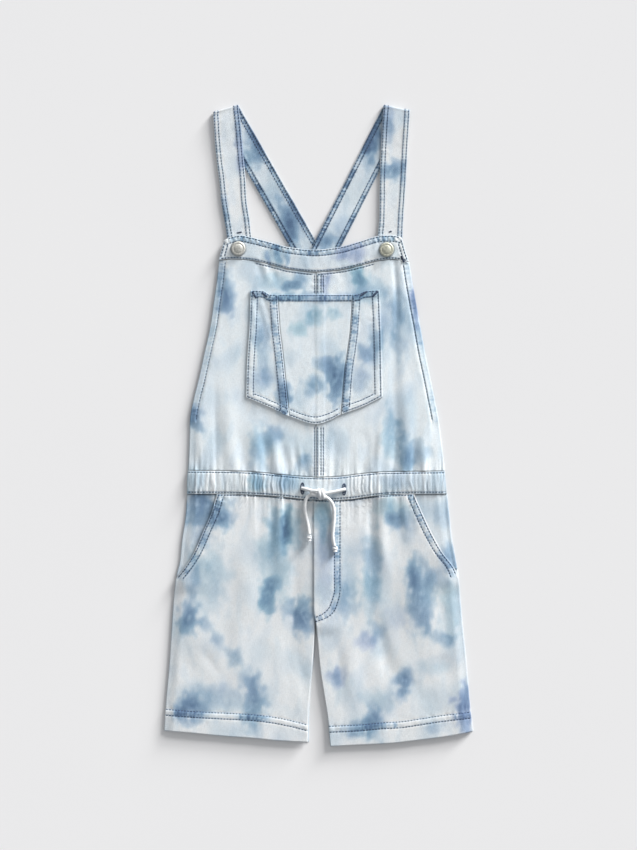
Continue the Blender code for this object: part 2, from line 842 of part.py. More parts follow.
def make_straps(material):
    """The two shoulder straps: hemmed ribbons folded at the shoulders, crossing behind."""
    for side, front_lines in (("left", LEFT_STRAP_FRONT), ("right", RIGHT_STRAP_FRONT)):
        bm = bmesh.new()
        rings = []
        for left, right, facing in strap_sections(side, front_lines):
            width = (right - left).length
            hem = STRAP_HEM / width
            step = hem + STRAP_HEM_RISE / width
            thick = STRAP_CLOTH / 2 + STRAP_HEM_RISE
            thin = STRAP_CLOTH / 2
            profile = (
                (0.0, thick),
                (hem, thick),
                (step, thin),
                (1.0 - step, thin),
                (1.0 - hem, thick),
                (1.0, thick),
                (1.0, -thin),
                (0.0, -thin),
            )
            rings.append([bm.verts.new(left.lerp(right, share) + facing * rise) for share, rise in profile])
        for near, far in zip(rings, rings[1:]):
            for i in range(len(near)):
                j = (i + 1) % len(near)
                bm.faces.new((near[i], near[j], far[j], far[i]))
        bm.faces.new(rings[0][::-1])
        bm.faces.new(rings[-1])
        bmesh.ops.recalc_face_normals(bm, faces=bm.faces)
        add_object("strap_" + side, bm, material)


def make_buttons(material):
    """The two domed tack buttons on the band."""
    seat = FRONT_INSIDE + BAND_THICKNESS + SEAM_GAP
    profile = [
        (0.0, 1.0),
        (0.38, 0.95),
        (0.68, 0.78),
        (0.88, 0.52),
        (1.0, 0.24),
        (0.96, 0.0),
        (0.0, 0.0),
    ]
    for side, (x, y) in BUTTON_CENTRES.items():
        bm = bmesh.new()
        points = [
            bm.verts.new((x + radius * BUTTON_RADIUS, y, seat + height * BUTTON_HEIGHT))
            for radius, height in profile
        ]
        edges = [bm.edges.new(pair) for pair in zip(points, points[1:])]
        bmesh.ops.spin(
            bm,
            geom=points + edges,
            cent=(x, y, 0.0),
            axis=(0.0, 0.0, 1.0),
            angle=math.tau,
            steps=BUTTON_SIDES,
            use_merge=True,
        )
        bmesh.ops.remove_doubles(bm, verts=bm.verts, dist=0.001)
        bmesh.ops.recalc_face_normals(bm, faces=bm.faces)
        add_object("button_" + side, bm, material)


def route_points(route):
    """Points at an even step along a smooth curve through a cord's route."""
    lengths = [0.0]
    for start, end in zip(route, route[1:]):
        lengths.append(lengths[-1] + (Vector(end) - Vector(start)).length)
    count = max(2, round(lengths[-1] / CORD_POINT_STEP))
    lines = [[(length, point[axis]) for length, point in zip(lengths, route)] for axis in range(3)]
    return [
        tuple(smooth_value(line, lengths[-1] * step / count) for line in lines) for step in range(count + 1)
    ]


def make_cord(name, route, material):
    """One stretch of the drawstring, as a round tube with filled ends."""
    curve = bpy.data.curves.new(name, "CURVE")
    curve.dimensions = "3D"
    curve.bevel_depth = CORD_RADIUS * MM
    curve.bevel_resolution = 2
    curve.use_fill_caps = True
    points = route_points(route)
    spline = curve.splines.new("POLY")
    spline.points.add(len(points) - 1)
    for knot, (x, y, z) in zip(spline.points, points):
        knot.co = (x * MM, y * MM, z * MM, 1.0)
    curve.materials.append(material)
    cord = bpy.data.objects.new(name, curve)
    bpy.context.collection.objects.link(cord)


def make_knot(name, centre, half_size, rings, sides, material):
    """A rounded knot of cord, as one solid."""
    bm = bmesh.new()
    bmesh.ops.create_uvsphere(bm, u_segments=sides, v_segments=rings, radius=1.0)
    bmesh.ops.scale(bm, vec=half_size, verts=bm.verts)
    bmesh.ops.translate(bm, vec=centre, verts=bm.verts)
    add_object(name, bm, material)


def make_drawstring(material):
    """The tied drawstring: two necks out of the casing, the knot, and two tails with stoppers."""
    make_cord("drawstring_neck_left", LEFT_NECK_ROUTE, material)
    make_cord("drawstring_neck_right", RIGHT_NECK_ROUTE, material)
    make_knot("drawstring_knot", KNOT_CENTRE, KNOT_HALF_SIZE, 8, 16, material)
    make_cord("drawstring_tail_left", LEFT_TAIL_ROUTE, material)
    make_cord("drawstring_tail_right", RIGHT_TAIL_ROUTE, material)
    for side, centre in STOPPER_CENTRES.items():
        make_knot("stopper_knot_" + side, centre, STOPPER_HALF_SIZE, 6, 10, material)


def build():
    """Clear the scene and make every piece."""
    for old in list(bpy.data.objects):
        bpy.data.objects.remove(old)
    denim = finish("bleached_denim", (0.66, 0.72, 0.78), 0.9)
    shaded_denim = finish("denim_wrong_side", (0.58, 0.65, 0.73), 0.92)
    cotton = finish("white_cotton_cord", (0.86, 0.86, 0.84), 0.85)
    metal = finish("button_metal", (0.70, 0.70, 0.70), 0.35, 1.0)
    make_bib(denim)
    make_band(denim)
    make_pocket(denim)
    make_casing(denim, denim)
    make_front_legs(denim)
    make_hip_facings(shaded_denim)
    make_back(denim)
    make_straps(denim)
    make_buttons(metal)
    make_drawstring(cotton)


build()
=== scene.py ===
"""Tie-dye denim short overalls laid flat: the finish, the sewing and the fine form of the cloth."""

import math
from collections import namedtuple

import bmesh
import bpy
import numpy as np
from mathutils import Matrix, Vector, kdtree, noise


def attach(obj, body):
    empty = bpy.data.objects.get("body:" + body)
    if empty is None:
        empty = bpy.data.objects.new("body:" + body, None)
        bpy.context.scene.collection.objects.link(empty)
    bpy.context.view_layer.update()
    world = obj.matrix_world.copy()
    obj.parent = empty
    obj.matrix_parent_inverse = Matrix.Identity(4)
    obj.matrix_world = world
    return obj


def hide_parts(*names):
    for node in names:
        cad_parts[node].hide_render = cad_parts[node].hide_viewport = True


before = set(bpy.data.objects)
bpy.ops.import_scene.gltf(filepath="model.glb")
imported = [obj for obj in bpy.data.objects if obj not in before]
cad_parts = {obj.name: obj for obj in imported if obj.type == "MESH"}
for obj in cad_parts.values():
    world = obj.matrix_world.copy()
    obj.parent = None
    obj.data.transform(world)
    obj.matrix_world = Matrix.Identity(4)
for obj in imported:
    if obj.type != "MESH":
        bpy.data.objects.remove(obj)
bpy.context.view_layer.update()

# The surface, the light and the view
# The garment lies on a plain pale floor, under two soft lights from the upper right.
# The camera looks straight down on it and takes in the photograph's frame.
MM = 0.001
VIEW_HEIGHT_SHOWN = 0.952
CAMERA_HEIGHT = 2.6
SENSOR = 36.0
FLOOR_SIZE = 8.0


def linear(red, green, blue):
    """A colour named in display values from 0 to 255, as the shaders need it."""
    shares = [channel / 255 for channel in (red, green, blue)]
    return tuple(s / 12.92 if s <= 0.04045 else ((s + 0.055) / 1.055) ** 2.4 for s in shares)


def new_material(name, roughness, metallic=0.0):
    """A material with its shader, and a function that adds and joins nodes."""
    material = bpy.data.materials.new(name)
    material.use_nodes = True
    tree = material.node_tree
    shader = tree.nodes["Principled BSDF"]
    shader.inputs["Roughness"].default_value = roughness
    shader.inputs["Metallic"].default_value = metallic

    def node(kind, settings=(), inputs=(), **attributes):
        made = tree.nodes.new(kind)
        for key, value in dict(settings).items():
            made.inputs[key].default_value = value
        for key, value in attributes.items():
            setattr(made, key, value)
        for key, source in dict(inputs).items():
            tree.links.new(source, made.inputs[key])
        return made

    def join(source, socket):
        tree.links.new(source, shader.inputs[socket])

    return material, node, join


camera = bpy.data.cameras.new("view_from_above")
camera.sensor_width = SENSOR
camera.lens = SENSOR * CAMERA_HEIGHT / VIEW_HEIGHT_SHOWN
camera_object = bpy.data.objects.new("view_from_above", camera)
camera_object.location = (0.0, 0.0004, CAMERA_HEIGHT)
bpy.context.collection.objects.link(camera_object)
bpy.context.scene.camera = camera_object
bpy.context.scene.view_settings.view_transform = "Standard"

LIGHTS = (
    ("soft_key", (0.58, 0.74, 0.31), 3.8, 24.0),
    ("low_side_light", (0.60, 0.72, 0.14), 3.0, 11.0),
)
for light_name, direction, strength, spread in LIGHTS:
    lamp = bpy.data.lights.new(light_name, "SUN")
    lamp.energy = strength
    lamp.angle = math.radians(spread)
    lamp.color = (1.0, 0.985, 0.965)
    lamp_object = bpy.data.objects.new(light_name, lamp)
    lamp_object.location = direction
    lamp_object.rotation_euler = (-Vector(direction)).to_track_quat("-Z", "Y").to_euler()
    bpy.context.collection.objects.link(lamp_object)

sky = bpy.data.worlds.new("studio")
sky.use_nodes = True
sky.node_tree.nodes["Background"].inputs["Color"].default_value = (0.97, 0.985, 1.0, 1.0)
sky.node_tree.nodes["Background"].inputs["Strength"].default_value = 0.445
bpy.context.scene.world = sky

floor_mesh = bmesh.new()
bmesh.ops.create_grid(floor_mesh, x_segments=2, y_segments=2, size=FLOOR_SIZE / 2)
floor_data = bpy.data.meshes.new("floor")
floor_mesh.to_mesh(floor_data)
floor_mesh.free()
floor = bpy.data.objects.new("floor", floor_data)
bpy.context.collection.objects.link(floor)
floor_finish, floor_node, floor_join = new_material("pale_paper", 0.9)
floor_place = floor_node("ShaderNodeTexCoord")
floor_grain = floor_node(
    "ShaderNodeTexNoise", {"Scale": 3.0, "Detail": 2.0}, {"Vector": floor_place.outputs["Object"]}
)
floor_tone = floor_node("ShaderNodeValToRGB", inputs={"Fac": floor_grain.outputs["Fac"]})
floor_tone.color_ramp.elements[0].color = (*linear(237, 237, 239), 1.0)
floor_tone.color_ramp.elements[1].color = (*linear(240, 240, 241), 1.0)
floor_join(floor_tone.outputs["Color"], "Base Color")
floor_data.materials.append(floor_finish)

# Drawstring
# A soft white braided cotton cord. It comes out of two stitched eyelets in the waist casing,
# is tied in a half knot, and each tail ends in a small stopper knot.
CORD_RADIUS = 2.0
LEFT_EYELET = (-17.9, -70.5, 6.8)
RIGHT_EYELET = (28.6, -71.5, 6.8)
KNOT_CENTRE = (2.6, -76.8, 10.6)
LEFT_STOPPER = (-10.4, -125.6, 8.2)
RIGHT_STOPPER = (18.5, -137.6, 8.6)
CORD_OVER = [
    (-19.0, -70.2, 6.4),
    (-16.0, -70.7, 8.0),
    (-11.2, -71.8, 9.2),
    (-5.0, -73.9, 10.8),
    (1.5, -76.6, 11.8),
    (7.0, -79.2, 10.9),
    (11.8, -82.4, 9.6),
    (15.4, -87.2, 9.1),
    (17.3, -93.5, 8.8),
    (17.6, -101.0, 8.7),
    (16.8, -111.0, 8.6),
    (15.8, -122.0, 8.5),
    (16.4, -129.6, 8.4),
    (17.8, -135.0, 8.4),
]
CORD_UNDER = [
    (30.0, -71.2, 6.4),
    (26.8, -72.0, 8.0),
    (20.0, -73.8, 8.4),
    (12.0, -75.3, 8.5),
    (4.0, -76.0, 8.4),
    (-3.0, -76.2, 8.4),
    (-9.0, -77.4, 8.4),
    (-13.2, -80.6, 8.2),
    (-15.2, -86.2, 8.0),
    (-15.3, -93.0, 7.5),
    (-14.0, -101.5, 7.2),
    (-11.8, -111.6, 7.2),
    (-10.4, -121.5, 7.4),
]
KNOT_LOBE = [
    (1.0, -73.2, 11.0),
    (-3.4, -72.9, 11.6),
    (-7.2, -73.4, 11.0),
    (-8.6, -75.2, 10.2),
    (-7.2, -77.0, 10.0),
    (-3.0, -77.6, 10.4),
    (1.0, -77.8, 10.8),
]


def line_through(rows, place, value, shift=0.0):
    """A smooth line through two columns of a table, read at any number of places at once."""
    points = sorted((getattr(row, place), getattr(row, value) + shift) for row in rows)
    spots = np.array([point[0] for point in points], float)
    values = np.array([point[1] for point in points], float)
    slopes = np.diff(values) / np.diff(spots)
    ends = np.concatenate(([slopes[0]], slopes, [slopes[-1]]))
    before, after = ends[:-1], ends[1:]
    same_way = before * after > 0
    shared = np.where(same_way, 2 * before * after / np.where(same_way, before + after, 1), 0)
    shared[0], shared[-1] = slopes[0], slopes[-1]
    t = np.linspace(0, 1, 17)[:-1]
    span = np.diff(spots)[:, None]
    fine = (
        (2 * t**3 - 3 * t**2 + 1) * values[:-1, None]
        + (t**3 - 2 * t**2 + t) * span * shared[:-1, None]
        + (3 * t**2 - 2 * t**3) * values[1:, None]
        + (t**3 - t**2) * span * shared[1:, None]
    )
    fine_spots = np.append((spots[:-1, None] + span * t).ravel(), spots[-1])
    fine_values = np.append(fine.ravel(), values[-1])
    return lambda at: np.interp(at, fine_spots, fine_values)


def smooth_path(points, rounding=0):
    """A smooth line of places through a few points, a millimetre apart."""
    points = np.array(points, float)
    lengths = np.concatenate(([0.0], np.cumsum(np.linalg.norm(np.diff(points, axis=0), axis=1))))
    Stop = namedtuple("Stop", "at value")
    at = np.linspace(0.0, lengths[-1], int(lengths[-1]) + 1)
    columns = [
        line_through([Stop(a, b) for a, b in zip(lengths, points[:, axis])], "at", "value")(at)
        for axis in range(points.shape[1])
    ]
    path = np.column_stack(columns)
    for _ in range(rounding):
        path[1:-1] = (path[:-2] + 2 * path[1:-1] + path[2:]) / 4
    return path


def cord_tube(bm, path, radius, ends=(1.0, 1.0), braid=0.07, sides=18):
    """A braided tube laid along a path, its ends scaled and closed."""
    lengths = np.concatenate(([0.0], np.cumsum(np.linalg.norm(np.diff(path, axis=0), axis=1))))
    count = int(lengths[-1] / 0.55) + 2
    at = np.linspace(0.0, lengths[-1], count + 1)
    centre = np.column_stack([np.interp(at, lengths, path[:, axis]) for axis in range(3)])
    ahead = np.gradient(centre, axis=0)
    ahead /= np.linalg.norm(ahead, axis=1)[:, None]
    aside = np.cross(ahead, (0.13, 0.07, 1.0))
    for i in range(1, len(aside)):
        aside[i] = aside[i - 1] - ahead[i] * np.dot(aside[i - 1], ahead[i])
    aside /= np.linalg.norm(aside, axis=1)[:, None]
    above = np.cross(ahead, aside)
    made = bmesh.ops.create_grid(bm, x_segments=sides, y_segments=count, size=0.5)["verts"]
    spots = np.array([vert.co[:2] for vert in made]) + 0.5
    turn = spots[:, 0] * 2 * np.pi
    ring = np.rint(spots[:, 1] * count).astype(int)
    reach = at[ring]
    relief = 1.0 + braid * (np.sin(3 * turn + 2.6 * reach) * np.sin(3 * turn - 2.6 * reach))
    swell = np.interp(reach, (0.0, 2.0, lengths[-1] - 2.0, lengths[-1]), (ends[0], 1.0, 1.0, ends[1]))
    wide = (radius * relief * swell)[:, None]
    places = centre[ring] + wide * (
        np.cos(turn)[:, None] * aside[ring] + np.sin(turn)[:, None] * above[ring]
    )
    for vert, place in zip(made, places * MM):
        vert.co = place


def cord_piece(name, tubes):
    """One piece of cord made of tubes, closed at their seams and ends."""
    bm = bmesh.new()
    for path, radius, ends in tubes:
        cord_tube(bm, path, radius, ends)
    bmesh.ops.remove_doubles(bm, verts=bm.verts, dist=0.01 * MM)
    bmesh.ops.holes_fill(bm, edges=[edge for edge in bm.edges if edge.is_boundary], sides=0)
    bmesh.ops.recalc_face_normals(bm, faces=bm.faces)
    data = bpy.data.meshes.new(name)
    bm.to_mesh(data)
    bm.free()
    data.shade_smooth()
    data.materials.append(cotton_cord)
    piece = bpy.data.objects.new(name, data)
    bpy.context.collection.objects.link(piece)
    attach(piece, "root")
    return piece


def cord_finish():
    """White cotton braid: soft and matt, slightly uneven in colour, with fine fibres."""
    material, node, join = new_material("white_cotton_braid", 0.9)
    place = node("ShaderNodeTexCoord").outputs["Object"]
    soil = node("ShaderNodeTexNoise", {"Scale": 160.0, "Detail": 3.0}, {"Vector": place})
    tone = node("ShaderNodeValToRGB", inputs={"Fac": soil.outputs["Fac"]})
    tone.color_ramp.elements[0].position = 0.3
    tone.color_ramp.elements[0].color = (*linear(198, 203, 208), 1.0)
    tone.color_ramp.elements[1].position = 0.65
    tone.color_ramp.elements[1].color = (*linear(228, 230, 231), 1.0)
    join(tone.outputs["Color"], "Base Color")
    fibre = node("ShaderNodeTexNoise", {"Scale": 2200.0, "Detail": 2.0}, {"Vector": place})
    bump = node(
        "ShaderNodeBump", {"Strength": 0.35, "Distance": 0.00015}, {"Height": fibre.outputs["Fac"]}
    )
    join(bump.outputs["Normal"], "Normal")
    return material


cotton_cord = cord_finish()


def coil(centre, reach, turns, half_length, along="x", start=0.6):
    """A few turns of cord wound round an axis."""
    turn = np.linspace(0.0, turns, int(26 * turns) + 1)
    angle = 2 * np.pi * (turn + start)
    run = (turn / turns - 0.5) * 2 * half_length
    slim = 1.0 - 0.18 * np.abs(turn / turns - 0.5) * 2
    around = (reach[0] * slim * np.cos(angle), reach[1] * slim * np.sin(angle))
    shift = (run, around[0], around[1]) if along == "x" else (around[0], run, around[1])
    return np.column_stack(shift) + np.array(centre)


over_path = smooth_path(CORD_OVER, 16)
under_path = smooth_path(CORD_UNDER, 16)
knot = cord_piece(
    "drawstring_knot_wraps",
    [
        (coil(KNOT_CENTRE, (4.6, 3.2), 2.0, 3.6), 2.15, (0.9, 0.9)),
        (smooth_path(KNOT_LOBE, 4), 2.1, (0.9, 0.9)),
    ],
)
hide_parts("drawstring_knot")
stoppers = {}
for side, (x, y, z) in (("left", LEFT_STOPPER), ("right", RIGHT_STOPPER)):
    tail = np.array([(x - 0.2, y + 2.0, z), (x, y - 1.0, z), (x + 0.2, y - 3.6, z)])
    stoppers[side] = cord_piece(
        "tail_stopper_" + side,
        [
            (coil((x, y + 0.2, z), (1.7, 1.2), 1.6, 1.5, "y"), 1.45, (0.9, 0.9)),
            (tail, 1.9, (1.0, 1.35)),
        ],
    )
    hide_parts("stopper_knot_" + side)
cord_over = cord_piece("drawstring_over", [(over_path, CORD_RADIUS, (0.9, 0.9))])
cord_under = cord_piece("drawstring_under", [(under_path, CORD_RADIUS, (0.9, 0.9))])
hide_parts("drawstring_neck_left", "drawstring_tail_right")
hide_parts("drawstring_neck_right", "drawstring_tail_left")


for piece, path, eyelet, with_pieces in (
    (cord_over, over_path, LEFT_EYELET, [knot, stoppers["right"]]),
    (cord_under, under_path, RIGHT_EYELET, [stoppers["left"]]),
):
    [tuple(place) for place in path * MM]

# Front legs
# Two legs of bleached, tie-dyed cotton denim, gathered into the casing at the top. Each is
# cut away at the hip pocket, turned up in a twin-stitched hem, and the right laps the left
# at a mock fly.
Section = namedtuple("Section", "y left right")
EdgePoint = namedtuple("EdgePoint", "x y")
Fold = namedtuple("Fold", "x_from y_from x_to y_to width rise fades_at_both_ends")
Gathers = namedtuple("Gathers", "x_from x_to count depth")
Blot = namedtuple("Blot", "x y half_width half_height strength tint")
Wash = namedtuple("Wash", "ground wear cloud cool grey")

SEAM_GAP = 0.3
DENIM = 1.3
SHELL = 1.15
FRONT_INSIDE = 3.4
SIDE_INSIDE = 1.6
SIDE_ROLL = 12.0
# How strongly the cloth's colour is darkened along its edges: painted shade.
EDGE_SHADE = 0.34
HEM_RISE = 0.6
ARMHOLE_HEM = 7.6
CENTRE_SEAM_X = -2.8
FLY_EDGE_X = -5.6
FLY_LAP = 8.0
LAP_LIFT = 1.9
OPENING_LAP = 4.0
CROTCH_SET_BACK = 1.2

BIB_SECTIONS = [
    Section(186, -111.2, 101.2),
    Section(162, -113.8, 104.8),
    Section(140, -117.0, 108.6),
    Section(112, -121.0, 113.8),
    Section(84, -127.1, 118.8),
    Section(50, -134.6, 125.8),
    Section(28, -140.1, 130.2),
    Section(6, -143.9, 134.4),
    Section(-16, -144.5, 137.2),
    Section(-44, -145.6, 140.6),
    Section(-60, -147.0, 142.0),
    Section(-80, -147.3, 144.0),
]
HIP_SECTIONS = [
    Section(-76, -147.3, 143.9),
    Section(-97, -148.4, 146.0),
    Section(-128, -152.9, 149.5),
    Section(-151, -155.1, 153.6),
    Section(-170, -159.4, 156.8),
    Section(-196, -162.4, 158.8),
    Section(-229, -164.6, 161.9),
    Section(-268, -167.2, 165.8),
    Section(-308, -170.8, 169.1),
    Section(-343, -173.0, 173.0),
]
OPENING_SECTIONS = [
    Section(-76, -113.5, 106.5),
    Section(-97, -119.6, 115.6),
    Section(-119, -129.2, 125.8),
    Section(-142, -139.3, 138.6),
    Section(-160, -150.6, 152.2),
    Section(-171, -159.5, 156.9),
]
INSEAM_SECTIONS = [
    Section(-76, -2.8, -2.8),
    Section(-221, -2.8, -2.8),
    Section(-240, -3.6, -1.4),
    Section(-265, -5.2, 0.6),
    Section(-296, -8.0, 5.0),
    Section(-324, -10.2, 9.5),
    Section(-359, -10.8, 12.9),
]
CASING_LOWER_EDGE = [
    EdgePoint(-148, -76.9),
    EdgePoint(-110, -77.0),
    EdgePoint(-65, -78.4),
    EdgePoint(-43, -80.0),
    EdgePoint(-20, -82.4),
    EdgePoint(0, -83.6),
    EdgePoint(18, -83.9),
    EdgePoint(35, -83.0),
    EdgePoint(58, -79.8),
    EdgePoint(80, -77.7),
    EdgePoint(110, -77.0),
    EdgePoint(145, -76.9),
]
LEFT_HEM_EDGE = [
    EdgePoint(-173, -341.7),
    EdgePoint(-144, -344.0),
    EdgePoint(-110, -347.3),
    EdgePoint(-71, -350.1),
    EdgePoint(-49, -352.4),
    EdgePoint(-10, -354.6),
]
RIGHT_HEM_EDGE = [
    EdgePoint(12, -359.1),
    EdgePoint(41, -357.7),
    EdgePoint(80, -355.6),
    EdgePoint(114, -351.8),
    EdgePoint(147, -347.4),
    EdgePoint(173, -342.3),
]
# The upper of the two stitched rows in each leg hem
LEFT_HEM_ROW = [
    EdgePoint(-172, -317.6),
    EdgePoint(-133, -320.4),
    EdgePoint(-99, -322.1),
    EdgePoint(-71, -323.8),
    EdgePoint(-49, -326.6),
    EdgePoint(-32, -330.0),
    EdgePoint(-10, -335.6),
]
RIGHT_HEM_ROW = [
    EdgePoint(10, -336.7),
    EdgePoint(46, -335.0),
    EdgePoint(69, -332.8),
    EdgePoint(91, -331.6),
    EdgePoint(114, -328.3),
    EdgePoint(136, -324.9),
    EdgePoint(173, -320.6),
]
FLY_INNER_ROW = [
    (17.9, -84.5),
    (17.9, -184.4),
    (15.1, -195.6),
    (11.4, -204.5),
    (3.9, -211.2),
    (-3.6, -214.6),
]
FLY_OUTER_ROW = [
    (24.1, -84.5),
    (24.1, -184.4),
    (21.8, -196.6),
    (17.5, -207.4),
    (9.6, -214.5),
    (-3.6, -219.4),
]
TWIN_ROW = 6.4
STITCH_PITCH = 3.4
STITCH_LENGTH = 2.5
THREAD_WIDTH = 1.25
THREAD_HEIGHT = 0.7
STITCH_LIFT = 0.16

# The folds that the solids have, each from its deep end to where it fades out
FRONT_FOLDS = [
    Fold(-133, -52, -140, -22, 5, -0.8, False),
    Fold(-108, -52, -121, 84, 8, -0.6, False),
    Fold(-95, -52, -104, 60, 9, 1.4, False),
    Fold(-82, -52, -88, -5, 5, -0.8, False),
    Fold(-68, -52, -74, 12, 7, 1.6, False),
    Fold(-54, -53, -62, 0, 5, -1.0, False),
    Fold(-44, -54, -52, -4, 5, 1.3, False),
    Fold(-34, -55, -44, 0, 5, -1.0, False),
    Fold(-21, -57, -29, -4, 4, -0.8, False),
    Fold(0, -58, 0, -16, 9, 1.0, False),
    Fold(19, -58, 17, -5, 4, -0.8, False),
    Fold(38, -56, 35, -16, 4, -0.7, False),
    Fold(52, -53, 55, 0, 5, -0.8, False),
    Fold(64, -52, 72, 16, 6, 1.5, False),
    Fold(86, -52, 87, 176, 6, -1.0, False),
    Fold(97, -52, 99, 90, 7, 1.2, False),
    Fold(108, -52, 105, -5, 5, -0.7, False),
    Fold(118, -52, 117, 10, 6, 1.3, False),
    Fold(126, -52, 123, -16, 4, -0.7, False),
    Fold(-63, -79, -66, -134, 4, -0.7, False),
    Fold(-51, -80, -53, -151, 4, -0.8, False),
    Fold(-43, -80, -44, -180, 6, 1.4, False),
    Fold(-35, -82, -36, -151, 5, -1.0, False),
    Fold(-25, -90, -30, -330, 7, -0.9, False),
    Fold(38, -83, 38, -117, 4, -0.6, False),
    Fold(50, -82, 50, -117, 4, -0.6, False),
    Fold(61, -79, 62, -240, 6, -1.0, False),
    Fold(71, -78, 76, -195, 7, 1.7, False),
    Fold(62, -200, 82, -308, 7, -0.9, True),
    Fold(91, -77, 91, -151, 5, -0.7, False),
    Fold(-82, -106, -82, -330, 16, 1.9, True),
    Fold(-160, -262, -105, -274, 18, -0.8, True),
    Fold(142, -251, 150, -307, 12, -0.7, True),
    Fold(-130, -190, -122, -322, 18, 1.0, True),
    Fold(104, -110, 116, -310, 17, 1.5, True),
    Fold(32, -220, 44, -338, 12, 1.2, True),
]

# The elastic casing's gathers, in groups from the left side to the right
CASING_GATHERS = [
    Gathers(-147, -115, 5, 0.7),
    Gathers(-115, -90, 3, 0.3),
    Gathers(-90, -18, 18, 0.8),
    Gathers(-18, 31, 7, 0.3),
    Gathers(31, 73, 10, 0.8),
    Gathers(73, 91, 2, 0.3),
    Gathers(91, 144, 7, 0.5),
]
